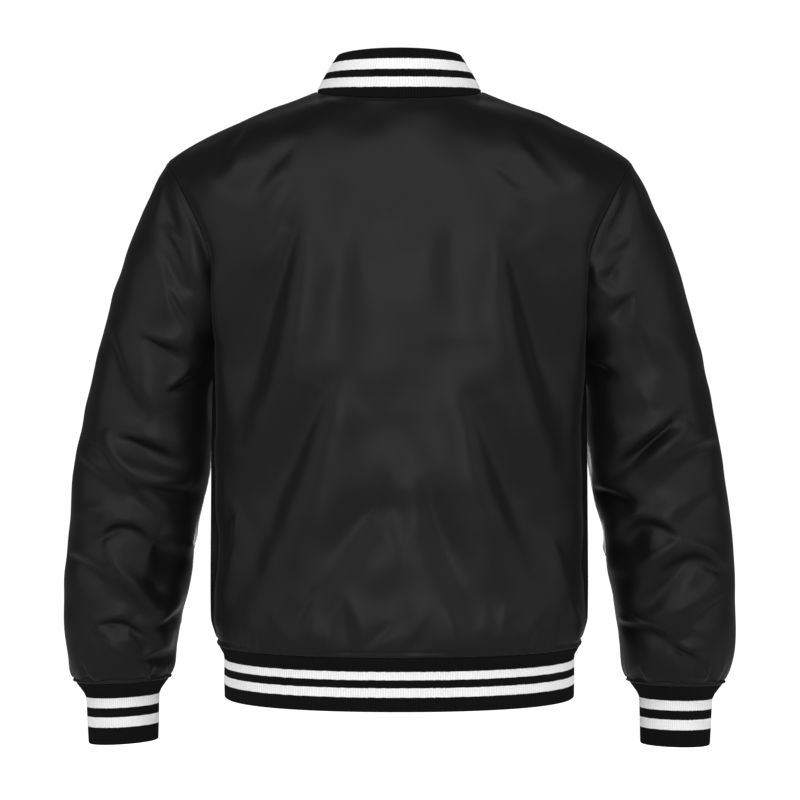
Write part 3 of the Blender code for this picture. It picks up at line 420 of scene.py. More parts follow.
def mesh_piece(name, vertices, faces, uv):
    """A mesh in the scene, with one pair of UV values for each corner of its faces."""
    mesh = bpy.data.meshes.new(name)
    mesh.from_pydata(vertices.tolist(), [], faces)
    layer = mesh.uv_layers.new(name="UVMap")
    layer.data.foreach_set("uv", uv.reshape(-1).astype(np.float32))
    mesh.shade_smooth()
    piece = bpy.data.objects.new(name, mesh)
    bpy.context.scene.collection.objects.link(piece)
    return piece


def cloth(name, grid, wraps=False):
    """A thin wall on its outer face, with a UV map in metres of cloth."""
    normals = outward_normals(grid, wraps)
    rows, columns = grid.shape[:2]
    inner = grid - normals * WALL
    shown = np.concatenate([grid, grid[:, :1]], axis=1) if wraps else grid
    u = np.cumsum(np.linalg.norm(np.diff(shown, axis=1), axis=-1), axis=1).mean(axis=0)
    v = np.cumsum(np.linalg.norm(np.diff(shown, axis=0), axis=-1), axis=0).mean(axis=1)
    u = np.concatenate([[0.0], u])
    v = np.concatenate([[0.0], v])
    i, j = np.meshgrid(np.arange(rows - 1), np.arange(columns if wraps else columns - 1), indexing="ij")
    i, j = i.ravel(), j.ravel()
    k = (j + 1) % columns
    a, b, c, d = i * columns + j, i * columns + k, (i + 1) * columns + k, (i + 1) * columns + j
    corners = ((j, i), (j + 1, i), (j + 1, i + 1), (j, i + 1))
    quads = np.stack([a, b, c, d], 1)
    quad_uv = np.stack([np.stack([u[across], v[down]], 1) for across, down in corners], 1)
    first = np.cross(grid[0, 1] - grid[0, 0], grid[1, 1] - grid[0, 0])
    if first @ normals[0, 0] < 0:
        quads, quad_uv = quads[:, ::-1], quad_uv[:, ::-1]
    skin = rows * columns
    faces = [quads, quads[:, ::-1] + skin]
    face_uv = [quad_uv, quad_uv[:, ::-1]]
    loops = [np.arange(columns), np.arange(columns) + (rows - 1) * columns]
    if not wraps:
        right_side = np.arange(1, rows) * columns + columns - 1
        bottom = (rows - 1) * columns + np.arange(columns - 2, -1, -1)
        left_side = np.arange(rows - 2, 0, -1) * columns
        loops = [np.concatenate([np.arange(columns), right_side, bottom, left_side])]
    flat_uv = np.stack(np.meshgrid(v, u[:columns], indexing="ij"), -1).reshape(-1, 2)[:, ::-1]
    vertices = np.concatenate([grid.reshape(-1, 3), inner.reshape(-1, 3)])
    for loop in loops:
        after = np.roll(loop, -1)
        rim = np.stack([loop, loop + skin, after + skin, after], 1)
        rim_uv = np.stack([flat_uv[loop], flat_uv[loop], flat_uv[after], flat_uv[after]], 1)
        corner = vertices[rim[0]]
        out = np.cross(corner[1] - corner[0], corner[3] - corner[0])
        middle = grid[rows // 2, columns // 2] if not wraps else grid[rows // 2].mean(axis=0)
        if out @ (corner[0] - middle) < 0:
            rim, rim_uv = rim[:, ::-1], rim_uv[:, ::-1]
        faces.append(rim)
        face_uv.append(rim_uv)
    return mesh_piece(name, vertices, np.concatenate(faces).tolist(), np.concatenate(face_uv))


def new_group(name, ins, outs):
    """A shader node group with named inputs (name, kind, value) and outputs (name, kind)."""
    group = bpy.data.node_groups.new(name, "ShaderNodeTree")
    for label, kind, value in ins:
        socket = group.interface.new_socket(name=label, in_out="INPUT", socket_type=kind)
        if value is not None:
            socket.default_value = value
    for label, kind in outs:
        group.interface.new_socket(name=label, in_out="OUTPUT", socket_type=kind)
    return group, group.nodes.new("NodeGroupInput"), group.nodes.new("NodeGroupOutput")


def plug(tree, socket, value):
    """Sets a socket to a value, or links it to the output of another node."""
    if isinstance(value, bpy.types.NodeSocket):
        tree.links.new(value, socket)
    else:
        socket.default_value = value


def add_node(tree, kind, inputs=None, **settings):
    """A shader node with its settings, and its inputs by name or number."""
    node = tree.nodes.new(kind)
    for label, value in settings.items():
        setattr(node, label, value)
    for label, value in (inputs or {}).items():
        plug(tree, node.inputs[label], value)
    return node


def math_node(tree, operation, *values):
    return add_node(tree, "ShaderNodeMath", dict(enumerate(values)), operation=operation).outputs[0]


def mixed(tree, factor, first, second):
    """The first colour where the factor is 0, and the second where it is 1."""
    return add_node(tree, "ShaderNodeMix", {0: factor, 6: first, 7: second}, data_type="RGBA").outputs[2]


def new_material(name, values):
    """A material, its node tree and its Principled shader with these values."""
    material = bpy.data.materials.new(name)
    material.use_nodes = True
    shader = material.node_tree.nodes["Principled BSDF"]
    for label, value in values.items():
        shader.inputs[label].default_value = value
    return material, material.node_tree, shader


# Satin weave: long floats of yarn that lie side by side on a slight slant, with a slub here and there.
weave, weave_in, weave_out = new_group(
    "satin_weave",
    [("Cloth", "NodeSocketVector", None), ("Yarns per Metre", "NodeSocketFloat", 1800.0),
     ("Slub", "NodeSocketFloat", 0.35)],
    [("Height", "NodeSocketFloat"), ("Tone", "NodeSocketFloat")],
)
split = add_node(weave, "ShaderNodeSeparateXYZ", {0: weave_in.outputs["Cloth"]})
slant = math_node(weave, "MULTIPLY_ADD", split.outputs["Y"], 0.35, split.outputs["X"])
turns = math_node(weave, "MULTIPLY", slant, weave_in.outputs["Yarns per Metre"])
yarn = math_node(weave, "SINE", math_node(weave, "MULTIPLY", turns, 2 * math.pi))
stretch = add_node(
    weave, "ShaderNodeMapping", {"Scale": (900.0, 120.0, 1.0), "Vector": weave_in.outputs["Cloth"]})
slub = add_node(
    weave, "ShaderNodeTexNoise", {"Scale": 1.0, "Detail": 2.0, "Vector": stretch.outputs["Vector"]})
slubs = math_node(weave, "MULTIPLY", slub.outputs["Fac"], weave_in.outputs["Slub"])
plug(weave, weave_out.inputs["Height"], math_node(weave, "MULTIPLY_ADD", yarn, 0.3, slubs))
plug(weave, weave_out.inputs["Tone"], math_node(weave, "MULTIPLY_ADD", slub.outputs["Fac"], 0.5, 0.75))

# Wear: satin that has been handled is a little rougher and greyer in broad, faint patches.
wear, wear_in, wear_out = new_group(
    "handled_cloth",
    [("Place", "NodeSocketVector", None), ("Patches per Metre", "NodeSocketFloat", 9.0)],
    [("Mask", "NodeSocketFloat")],
)
patch = add_node(wear, "ShaderNodeTexNoise", {
    "Detail": 4.0, "Roughness": 0.55,
    "Vector": wear_in.outputs["Place"], "Scale": wear_in.outputs["Patches per Metre"]})
plug(wear, wear_out.inputs["Mask"], patch.outputs["Fac"])

SATIN_DARK = (0.0026, 0.0026, 0.0027, 1.0)
SATIN_LIGHT = (0.0048, 0.0047, 0.0049, 1.0)
satin, tree, shader = new_material(
    "black_satin", {"Metallic": 0.0, "IOR": 1.31, "Sheen Weight": 0.05, "Sheen Roughness": 0.4})
cloth_uv = add_node(tree, "ShaderNodeUVMap", uv_map="UVMap").outputs["UV"]
woven = add_node(
    tree, "ShaderNodeGroup", {"Yarns per Metre": 1800.0, "Slub": 0.35, "Cloth": cloth_uv}, node_tree=weave)
place = add_node(tree, "ShaderNodeTexCoord").outputs["Object"]
handled = add_node(tree, "ShaderNodeGroup", {"Patches per Metre": 9.0, "Place": place}, node_tree=wear)
tone = math_node(tree, "MULTIPLY", handled.outputs["Mask"], woven.outputs["Tone"])
bump = add_node(
    tree, "ShaderNodeBump", {"Strength": 0.10, "Distance": 0.0002, "Height": woven.outputs["Height"]})
plug(tree, shader.inputs["Base Color"], mixed(tree, tone, SATIN_DARK, SATIN_LIGHT))
plug(tree, shader.inputs["Roughness"], math_node(tree, "MULTIPLY_ADD", handled.outputs["Mask"], 0.08, 0.41))
plug(tree, shader.inputs["Normal"], bump.outputs["Normal"])

# How far from the top, the hem and the side the folds, and then the crumples, reach their full depth.
BODY_FOLDS_GROW = (0.03, 0.008, 0.010)
BODY_CRUMPLES_GROW = (0.02, 0.015, 0.015)
NECK_ROLL = 0.0011
NECK_ROLL_START = 0.0012
NECK_ROLL_RUN = 0.0060
NECK_ROLL_HALF_WIDTH = 0.072
NECK_ROLL_FADE = 0.020
half = half_body("back")
back_grid = np.concatenate([half[:, ::-1] * np.array([-1.0, 1.0, 1.0]), half[:, 1:]], axis=1)
above_hem = from_edge(back_grid, "bottom")
from_side = np.minimum(from_edge(back_grid, "left"), from_edge(back_grid, "right"))
below_top = from_edge(back_grid, "top")
x, y, z = np.moveaxis(back_grid, -1, 0)
normals = outward_normals(back_grid)
edges = (below_top, above_hem, from_side)
depth = BACK_FOLD_GAIN * fold_depth(x, z, BACK_FOLDS, True) * grown(edges, BODY_FOLDS_GROW)
depth += crumple(x, y, z, 11) * grown(edges, BODY_CRUMPLES_GROW)
depth += gathers(x, above_hem, 12) + welt(above_hem)
neck_roll = NECK_ROLL * np.sin(math.pi * np.clip((below_top - NECK_ROLL_START) / NECK_ROLL_RUN, 0, 1))
depth += neck_roll * ease((NECK_ROLL_HALF_WIDTH - abs(x)) / NECK_ROLL_FADE)
depth += sum(turned_edge(away) for away in edges)
back_grid = back_grid + normals * depth[..., None]
back = cloth("back_cloth", back_grid)
back.data.materials.append(satin)
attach(back, "root")
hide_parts("back_panel")

# ------------------------------------------------------------------------------------------------------
# FRONTS. Two pieces of satin that meet the back at the shoulders and sides and lap at the centre line.
# The left one lies on top; the right one is sunk below it where they lap.
LAP_HALF_WIDTH = 0.015
LAP_RAMP = (0.020, 0.045)
LAP_SUNK = 0.0026
LAP_SUNK_DEEP = 0.0044
LAP_DEEP_NECK_Z = (-0.108, -0.084)
LAP_DEEP_HEM_Z = (-0.550, -0.580)
LAP_FREE = 0.02
TOP_STITCH = 0.0065
STITCH_DEEP = 0.0003
STITCH_WIDE = 0.0008
WELT_AT_LAP = 0.2
FRONT_FOLD_GAIN = 1.6
FRONT_FOLDS = [
    Fold(0.103, -0.165, 0.134, -0.260, 0.156, -0.345, 0.0315, -0.0072, 2.0),
    Fold(0.090, -0.360, 0.122, -0.440, 0.160, -0.525, 0.0270, -0.0067, 2.0),
    Fold(0.050, -0.440, 0.068, -0.500, 0.084, -0.556, 0.0180, -0.0053, 2.0),
    Fold(0.144, -0.357, 0.161, -0.388, 0.177, -0.421, 0.0165, -0.0041, 2.0),
    Fold(0.150, -0.100, 0.138, -0.130, 0.118, -0.150, 0.0135, -0.0029, 2.0),
    Fold(0.165, -0.560, 0.140, -0.543, 0.104, -0.510, 0.0117, 0.0031, 2.0),
    Fold(0.110, -0.548, 0.104, -0.564, 0.099, -0.581, 0.0083, -0.0043, 1.8),
    Fold(0.079, -0.549, 0.073, -0.564, 0.067, -0.583, 0.0065, 0.0031, 1.9),
    Fold(0.130, -0.556, 0.134, -0.568, 0.139, -0.582, 0.0083, -0.0036, 1.9),
    Fold(0.187, -0.460, 0.187, -0.516, 0.184, -0.574, 0.0059, 0.0020, 1.9),
    Fold(0.176, -0.500, 0.179, -0.538, 0.174, -0.580, 0.0067, -0.0036, 1.8),
    Fold(-0.106, -0.176, -0.134, -0.270, -0.164, -0.356, 0.0315, -0.0072, 2.0),
    Fold(-0.080, -0.340, -0.110, -0.424, -0.142, -0.510, 0.0270, -0.0067, 2.0),
    Fold(-0.046, -0.450, -0.060, -0.500, -0.072, -0.552, 0.0180, -0.0050, 2.0),
    Fold(-0.150, -0.350, -0.166, -0.386, -0.180, -0.418, 0.0165, -0.0041, 2.0),
    Fold(-0.144, -0.096, -0.132, -0.126, -0.112, -0.148, 0.0135, -0.0029, 2.0),
    Fold(-0.164, -0.556, -0.140, -0.544, -0.106, -0.516, 0.0117, 0.0029, 2.0),
    Fold(-0.100, -0.548, -0.106, -0.566, -0.111, -0.582, 0.0083, -0.0043, 1.8),
    Fold(-0.076, -0.552, -0.082, -0.566, -0.087, -0.583, 0.0065, 0.0029, 1.9),
    Fold(-0.130, -0.554, -0.137, -0.568, -0.146, -0.582, 0.0083, -0.0034, 1.9),
    Fold(-0.187, -0.466, -0.187, -0.520, -0.184, -0.574, 0.0059, 0.0020, 1.9),
    Fold(-0.176, -0.506, -0.179, -0.543, -0.174, -0.580, 0.0067, -0.0034, 1.8),
]
front_half = half_body("front")
front_edges = {}
for name, flip, seed in (("left", 1.0, 21), ("right", -1.0, 31)):
    across_lap = finer_ends(np.linspace(-LAP_HALF_WIDTH, 0, 8), at_end=False)[:-1, None]
    lap = front_half[:, :1] * np.array([0.0, 1.0, 1.0]) + across_lap * np.array([1.0, 0.0, 0.0])
    grid = np.concatenate([lap, front_half], axis=1) * np.array([flip, 1.0, 1.0])
    x, y, z = np.moveaxis(grid, -1, 0)
    normals = outward_normals(grid)
    if name == "right":
        at_neck = ease((z - LAP_DEEP_NECK_Z[0]) / (LAP_DEEP_NECK_Z[1] - LAP_DEEP_NECK_Z[0]))
        at_hem = ease((z - LAP_DEEP_HEM_Z[0]) / (LAP_DEEP_HEM_Z[1] - LAP_DEEP_HEM_Z[0]))
        sunk = LAP_SUNK + (LAP_SUNK_DEEP - LAP_SUNK) * np.maximum(at_neck, at_hem)
        ramp = ease((np.abs(x) - LAP_RAMP[0]) / (LAP_RAMP[1] - LAP_RAMP[0]))
        grid = grid - normals * (sunk * (1 - ramp))[..., None]
        normals = outward_normals(grid)
        x, y, z = np.moveaxis(grid, -1, 0)
    above_hem = from_edge(grid, "bottom")
    below_top = from_edge(grid, "top")
    from_side = from_edge(grid, "right")
    from_lap = from_edge(grid, "left")
    free = ease((np.abs(x) - LAP_RAMP[1]) / LAP_FREE)
    edges = (below_top, above_hem, from_side)
    depth = FRONT_FOLD_GAIN * fold_depth(x, z, FRONT_FOLDS, True) * free * grown(edges, BODY_FOLDS_GROW)
    depth += crumple(x, y, z, seed) * free * grown(edges, BODY_CRUMPLES_GROW)
    depth += gathers(x, above_hem, seed + 1) * free
    depth += welt(above_hem) * (WELT_AT_LAP + (1 - WELT_AT_LAP) * free)
    depth += sum(turned_edge(away) for away in edges) + turned_edge(from_lap, deep=0.0005, wide=0.0012)
    if name == "left":
        depth -= STITCH_DEEP * np.exp(-((from_lap - TOP_STITCH) / STITCH_WIDE) ** 2)
    grid = grid + normals * depth[..., None]
    front_edges[name] = (grid, outward_normals(grid))
    front = cloth(f"front_{name}_cloth", grid)
    front.data.materials.append(satin)
    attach(front, "root")
    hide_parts(f"front_{name}")

# ------------------------------------------------------------------------------------------------------
# SLEEVES. Set-in sleeves with a dropped shoulder. Each is a tube of satin whose folds swing round it from
# the inside of the elbow, and which is gathered into the cuff.
SLEEVE_COLUMNS = 168
SLEEVE_ROWS = 208
ARMHOLE_FADE = 1.6
SLEEVE_FOLD_GAIN = 1.5
SLEEVE_FOLDS_GROW = (0.012, 0.006)
SLEEVE_CRUMPLES_GROW = (0.02, 0.012)
FOLD_TURN_START = 0.08
FOLD_TURN_RUN = 0.42
FRONT_FOLD_DROP = 0.006
SLEEVE_RADIUS = 0.055
RIGHT_SWELL = 0.0019
RIGHT_DROP = 0.0018
RIGHT_TILT = 0.0013
Ring = namedtuple("Ring", "station outer_x outer_z inner_x inner_z half_depth middle_y")
SLEEVE = [
    Ring(0, 0.2475, SHOULDER_TIP_Z, 0.1895, ARMPIT_Z, 0.0700, 0.000),
    Ring(1, 0.2716, -0.1180, 0.1946, -0.2805, 0.0730, -0.004),
    Ring(2, 0.2918, -0.1663, 0.1960, -0.2890, 0.0740, -0.008),
    Ring(3, 0.3072, -0.2145, 0.1976, -0.3020, 0.0740, -0.012),
    Ring(4, 0.3205, -0.2631, 0.1992, -0.3200, 0.0735, -0.015),
    Ring(5, 0.3322, -0.3120, 0.1994, -0.3440, 0.0730, -0.018),
    Ring(6, 0.3427, -0.3603, 0.2011, -0.3780, 0.0720, -0.020),
    Ring(7, 0.3508, -0.4092, 0.2072, -0.4200, 0.0710, -0.022),
    Ring(8, 0.3568, -0.4617, 0.2182, -0.4675, 0.0700, -0.024),
    Ring(9, 0.3596, -0.5132, 0.2255, -0.5145, 0.0690, -0.026),
    Ring(10, 0.3616, -0.5581, 0.2335, -0.5570, 0.0670, -0.028),
    Ring(11, 0.3599, -0.5912, 0.2384, -0.5880, 0.0640, -0.029),
    Ring(12, 0.3560, -0.6148, 0.2412, -0.6105, 0.0580, -0.030),
    Ring(13, 0.3496, -0.6305, 0.2487, -0.6262, 0.0460, -0.030),
]

LEFT_SLEEVE_FOLDS = [
    Fold(0.296, -0.394, 0.268, -0.432, 0.230, -0.469, 0.0097, -0.0034, 2.0),
    Fold(0.332, -0.370, 0.310, -0.383, 0.292, -0.414, 0.0088, -0.0022, 2.0),
    Fold(0.301, -0.507, 0.277, -0.535, 0.255, -0.568, 0.0088, -0.0028, 2.0),
    Fold(0.263, -0.515, 0.248, -0.528, 0.233, -0.535, 0.0070, -0.0022, 2.0),
    Fold(0.332, -0.555, 0.310, -0.586, 0.292, -0.605, 0.0079, -0.0020, 2.0),
    Fold(0.288, -0.309, 0.274, -0.322, 0.263, -0.344, 0.0088, -0.0020, 2.0),
    Fold(0.263, -0.260, 0.246, -0.269, 0.226, -0.274, 0.0079, -0.0022, 2.0),
    Fold(0.244, -0.079, 0.256, -0.126, 0.258, -0.157, 0.0044, 0.0012, 1.6),
    Fold(0.239, -0.086, 0.221, -0.141, 0.208, -0.192, 0.0050, 0.0017, 1.7),
    Fold(0.248, -0.096, 0.236, -0.131, 0.224, -0.168, 0.0072, -0.0030, 2.0),
    Fold(0.245, -0.150, 0.230, -0.175, 0.213, -0.215, 0.0080, -0.0034, 1.8),
    Fold(0.245, -0.171, 0.232, -0.194, 0.216, -0.217, 0.0116, -0.0023, 2.0),
    Fold(0.245, -0.141, 0.237, -0.154, 0.230, -0.166, 0.0044, 0.0013, 1.7),
    Fold(0.250, -0.182, 0.236, -0.230, 0.213, -0.266, 0.0088, 0.0027, 1.9),
    Fold(0.239, -0.212, 0.229, -0.230, 0.218, -0.247, 0.0065, -0.0030, 1.7),
    Fold(0.239, -0.207, 0.223, -0.215, 0.211, -0.224, 0.0044, 0.0014, 1.6),
    Fold(0.266, -0.261, 0.242, -0.272, 0.219, -0.281, 0.0101, -0.0032, 2.0),
    Fold(0.239, -0.314, 0.225, -0.306, 0.211, -0.298, 0.0072, -0.0052, 1.7),
    Fold(0.303, -0.261, 0.285, -0.307, 0.267, -0.347, 0.0174, -0.0052, 2.0),
    Fold(0.297, -0.351, 0.278, -0.352, 0.260, -0.355, 0.0056, 0.0015, 1.8),
    Fold(0.309, -0.363, 0.276, -0.402, 0.223, -0.403, 0.0100, 0.0055, 1.8),
    Fold(0.290, -0.365, 0.258, -0.376, 0.221, -0.395, 0.0101, -0.0063, 1.9),
    Fold(0.270, -0.415, 0.245, -0.419, 0.221, -0.422, 0.0080, -0.0063, 1.7),
    Fold(0.334, -0.392, 0.306, -0.413, 0.276, -0.432, 0.0145, -0.0040, 2.0),
    Fold(0.343, -0.446, 0.310, -0.443, 0.277, -0.445, 0.0112, 0.0026, 2.0),
    Fold(0.315, -0.470, 0.285, -0.459, 0.253, -0.483, 0.0080, -0.0063, 1.7),
    Fold(0.256, -0.474, 0.239, -0.485, 0.221, -0.504, 0.0145, -0.0063, 2.0),
    Fold(0.308, -0.474, 0.289, -0.511, 0.250, -0.559, 0.0088, 0.0043, 1.8),
    Fold(0.350, -0.492, 0.316, -0.508, 0.285, -0.540, 0.0116, -0.0040, 2.0),
    Fold(0.318, -0.563, 0.299, -0.560, 0.282, -0.564, 0.0065, -0.0052, 1.7),
    Fold(0.285, -0.564, 0.267, -0.576, 0.248, -0.593, 0.0087, -0.0046, 1.9),
    Fold(0.255, -0.563, 0.242, -0.556, 0.227, -0.551, 0.0087, -0.0052, 1.8),
    Fold(0.297, -0.580, 0.272, -0.581, 0.250, -0.590, 0.0056, 0.0020, 1.8),
    Fold(0.316, -0.582, 0.309, -0.587, 0.300, -0.594, 0.0056, 0.0015, 1.8),
    Fold(0.269, -0.601, 0.255, -0.598, 0.240, -0.596, 0.0072, -0.0040, 1.7),
    Fold(0.335, -0.609, 0.330, -0.619, 0.325, -0.628, 0.0038, -0.0030, 1.6),
    Fold(0.267, -0.624, 0.264, -0.618, 0.262, -0.611, 0.0038, -0.0028, 1.6),
    Fold(0.232, -0.471, 0.225, -0.482, 0.219, -0.493, 0.0044, 0.0017, 1.6),
    Fold(0.258, -0.531, 0.244, -0.533, 0.227, -0.539, 0.0063, 0.0019, 2.0),
    Fold(0.333, -0.522, 0.327, -0.529, 0.319, -0.542, 0.0112, 0.0014, 2.0),
]
RIGHT_SLEEVE_FOLDS = [
    Fold(-0.292, -0.339, -0.261, -0.366, -0.217, -0.405, 0.0105, -0.0034, 2.0),
    Fold(-0.336, -0.370, -0.300, -0.383, -0.265, -0.414, 0.0105, -0.0028, 2.0),
    Fold(-0.336, -0.423, -0.309, -0.436, -0.296, -0.454, 0.0088, -0.0020, 2.0),
    Fold(-0.261, -0.449, -0.239, -0.458, -0.226, -0.480, 0.0079, -0.0022, 2.0),
    Fold(-0.336, -0.502, -0.305, -0.485, -0.274, -0.507, 0.0088, -0.0026, 2.0),
    Fold(-0.296, -0.507, -0.270, -0.528, -0.248, -0.550, 0.0088, -0.0024, 2.0),
    Fold(-0.340, -0.537, -0.314, -0.555, -0.300, -0.577, 0.0079, -0.0020, 2.0),
    Fold(-0.248, -0.555, -0.265, -0.564, -0.287, -0.572, 0.0070, -0.0026, 2.0),
    Fold(-0.292, -0.586, -0.309, -0.597, -0.327, -0.603, 0.0066, -0.0022, 2.0),
    Fold(-0.242, -0.080, -0.252, -0.113, -0.257, -0.157, 0.0044, 0.0012, 1.6),
    Fold(-0.241, -0.099, -0.225, -0.136, -0.205, -0.173, 0.0094, -0.0039, 2.0),
    Fold(-0.242, -0.157, -0.229, -0.170, -0.212, -0.182, 0.0080, -0.0034, 1.8),
    Fold(-0.233, -0.173, -0.221, -0.180, -0.207, -0.186, 0.0056, 0.0020, 1.8),
    Fold(-0.225, -0.186, -0.217, -0.194, -0.210, -0.202, 0.0065, -0.0034, 1.7),
    Fold(-0.204, -0.189, -0.215, -0.210, -0.241, -0.215, 0.0063, 0.0019, 1.9),
    Fold(-0.241, -0.217, -0.228, -0.226, -0.215, -0.238, 0.0080, -0.0039, 1.8),
    Fold(-0.206, -0.288, -0.214, -0.292, -0.225, -0.298, 0.0065, -0.0039, 1.7),
    Fold(-0.251, -0.316, -0.262, -0.326, -0.272, -0.337, 0.0100, 0.0015, 2.0),
    Fold(-0.284, -0.351, -0.249, -0.378, -0.212, -0.408, 0.0109, -0.0080, 1.8),
    Fold(-0.302, -0.355, -0.260, -0.388, -0.212, -0.416, 0.0112, 0.0051, 1.9),
    Fold(-0.337, -0.376, -0.307, -0.385, -0.265, -0.418, 0.0145, -0.0039, 2.0),
    Fold(-0.207, -0.420, -0.229, -0.427, -0.253, -0.436, 0.0094, -0.0060, 1.7),
    Fold(-0.293, -0.469, -0.254, -0.457, -0.223, -0.495, 0.0094, -0.0060, 1.8),
    Fold(-0.293, -0.472, -0.254, -0.500, -0.218, -0.502, 0.0075, 0.0034, 1.9),
    Fold(-0.341, -0.504, -0.297, -0.495, -0.251, -0.541, 0.0109, -0.0060, 1.8),
    Fold(-0.336, -0.512, -0.302, -0.542, -0.247, -0.550, 0.0088, 0.0039, 1.9),
    Fold(-0.228, -0.565, -0.260, -0.569, -0.290, -0.578, 0.0080, -0.0053, 1.7),
    Fold(-0.307, -0.569, -0.319, -0.571, -0.330, -0.575, 0.0075, 0.0015, 2.0),
    Fold(-0.293, -0.588, -0.307, -0.594, -0.322, -0.599, 0.0072, -0.0039, 1.7),
    Fold(-0.297, -0.598, -0.309, -0.602, -0.322, -0.607, 0.0056, 0.0015, 1.8),
    Fold(-0.257, -0.613, -0.259, -0.620, -0.262, -0.627, 0.0038, -0.0030, 1.6),
    Fold(-0.331, -0.613, -0.330, -0.620, -0.327, -0.627, 0.0038, -0.0028, 1.6),
    Fold(-0.254, -0.252, -0.265, -0.276, -0.278, -0.303, 0.0159, -0.0028, 2.0),
    Fold(-0.307, -0.432, -0.292, -0.440, -0.270, -0.447, 0.0100, 0.0022, 2.0),
]


def sleeve_point(station, angle):
    """The left sleeve: angle 0 is its outer line, 90 its back, 180 its inner line and 270 its front."""
    station, angle = np.broadcast_arrays(station, angle)
    get = {name: smooth(SLEEVE, "station", name, station) for name in Ring._fields[1:]}
    turn = np.radians(angle)
    zero = np.zeros_like(turn)

    def ellipse(outer_x, outer_z, inner_x, inner_z, half_depth, middle_y):
        middle = points((outer_x + inner_x) / 2, middle_y, (outer_z + inner_z) / 2)
        along = points((outer_x - inner_x) / 2, zero, (outer_z - inner_z) / 2)
        return middle + along * np.cos(turn)[..., None] + points(zero, half_depth * np.sin(turn), zero)

    ring = ellipse(**get)
    first = ellipse(*SLEEVE[0][1:])
    down = np.where(angle <= 180, angle, 360 - angle)
    armhole = np.where((angle <= 180)[..., None], armhole_point("back", down), armhole_point("front", down))
    fade = 1 - ease(station / ARMHOLE_FADE)
    return ring + fade[..., None] * (armhole - first)


last_station = SLEEVE[-1].station
stations = finer_ends(np.linspace(0, last_station, SLEEVE_ROWS - 5))[:, None]
around = np.linspace(0, 360, SLEEVE_COLUMNS + 1)[None, :-1]
sleeve_form = sleeve_point(stations, around)
facing = np.sin(np.radians(around)) + 0 * stations
cuff_lines = {}
for name, flip, at_back, at_front, seed in (
    ("left", 1.0, LEFT_SLEEVE_FOLDS, RIGHT_SLEEVE_FOLDS, 41),
    ("right", -1.0, RIGHT_SLEEVE_FOLDS, LEFT_SLEEVE_FOLDS, 51),
):
    grid = sleeve_form * np.array([flip, 1.0, 1.0])
    if name == "right":
        cosine = np.cos(np.radians(around))
        outer = 0.5 + 0.5 * cosine
        grid[..., 0] -= RIGHT_SWELL * outer * ease((stations - 6) / 3) * ease((13 - stations) / 2)
        grid[..., 2] -= ease((stations - 8) / 5) * (RIGHT_DROP + RIGHT_TILT * (1 - cosine))
    cuff_lines[name] = grid[-1].copy()
    x, y, z = np.moveaxis(grid, -1, 0)
    above_cuff = from_edge(grid, "bottom")
    below_armhole = from_edge(grid, "top")
    normals = outward_normals(grid, wraps=True)
    seams = (below_armhole, above_cuff)
    behind = fold_depth(x, z, at_back, False) * ease((facing - FOLD_TURN_START) / FOLD_TURN_RUN)
    ahead = fold_depth(-x, z + FRONT_FOLD_DROP, at_front, False)
    ahead = ahead * ease((-facing - FOLD_TURN_START) / FOLD_TURN_RUN)
    depth = SLEEVE_FOLD_GAIN * (behind + ahead) * grown(seams, SLEEVE_FOLDS_GROW)
    depth += crumple(x, y, z, seed) * grown(seams, SLEEVE_CRUMPLES_GROW)
    ring_run = np.radians(around) * SLEEVE_RADIUS + 0 * stations
    depth += gathers(ring_run, above_cuff, seed + 1, depth=0.0005) + welt(above_cuff, high=0.0050)
    depth += turned_edge(above_cuff) + turned_edge(below_armhole)
    grid = grid + normals * depth[..., None]
    sleeve = cloth(f"sleeve_{name}_cloth", grid, wraps=True)
    sleeve.data.materials.append(satin)
    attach(sleeve, "root")
    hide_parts(f"sleeve_{name}")

# ------------------------------------------------------------------------------------------------------
# COLLAR. A band of one-by-one rib that stands on the neck seam, folded over at its top edge, with two
# white stripes knitted into it. Its ends are rounded and meet at the centre front.
RIB_WALL = 0.0026
RIB_DEPTH = 0.0005
COLUMNS_PER_RIB = 6
COLLAR_RIBS = 176
COLLAR_TOP_HALF_WIDTH = 0.0662
COLLAR_TOP_BACK_DEPTH = 0.0700
COLLAR_TOP_FRONT_DEPTH = 0.0740
CollarTop = namedtuple("CollarTop", "angle z")
COLLAR_TOP = [
    CollarTop(0, -0.0290),
    CollarTop(20, -0.0231),
    CollarTop(45, -0.0020),
    CollarTop(70, 0.0262),
    CollarTop(90, 0.0405),
    CollarTop(110, 0.0420),
    CollarTop(180, 0.0420),
]
COLLAR_BULGE = 0.0015
COLLAR_END_RADIUS = 0.035
COLLAR_END_HEIGHT = 0.15
COLLAR_END_GAP = 0.0012
COLLAR_HEIGHT = 0.0532
TUCK = 0.0022
TUCK_SINK = 0.0007
EDGE_ROUNDING = 0.0016
FULL_BEND = 0.985


def even_run(line, count, closed=False):
    """The points of a line set out again at even distances."""
    if closed:
        line = np.concatenate([line, line[:1]])
    run = np.concatenate([[0.0], np.cumsum(np.linalg.norm(np.diff(line, axis=0), axis=-1))])
    at = np.linspace(0, run[-1], count + 1 if closed else count)
    at = at[:-1] if closed else at
    return np.stack([np.interp(at, run, line[:, axis]) for axis in range(3)], axis=-1)


def rib_wave(ribs):
    """The ribs across one row: rounded tops with narrow valleys between them."""
    phase = np.arange(ribs * COLUMNS_PER_RIB + 1) / COLUMNS_PER_RIB
    wave = (0.5 + 0.5 * np.cos(2 * math.pi * phase)) ** 0.6
    return phase, wave - 1


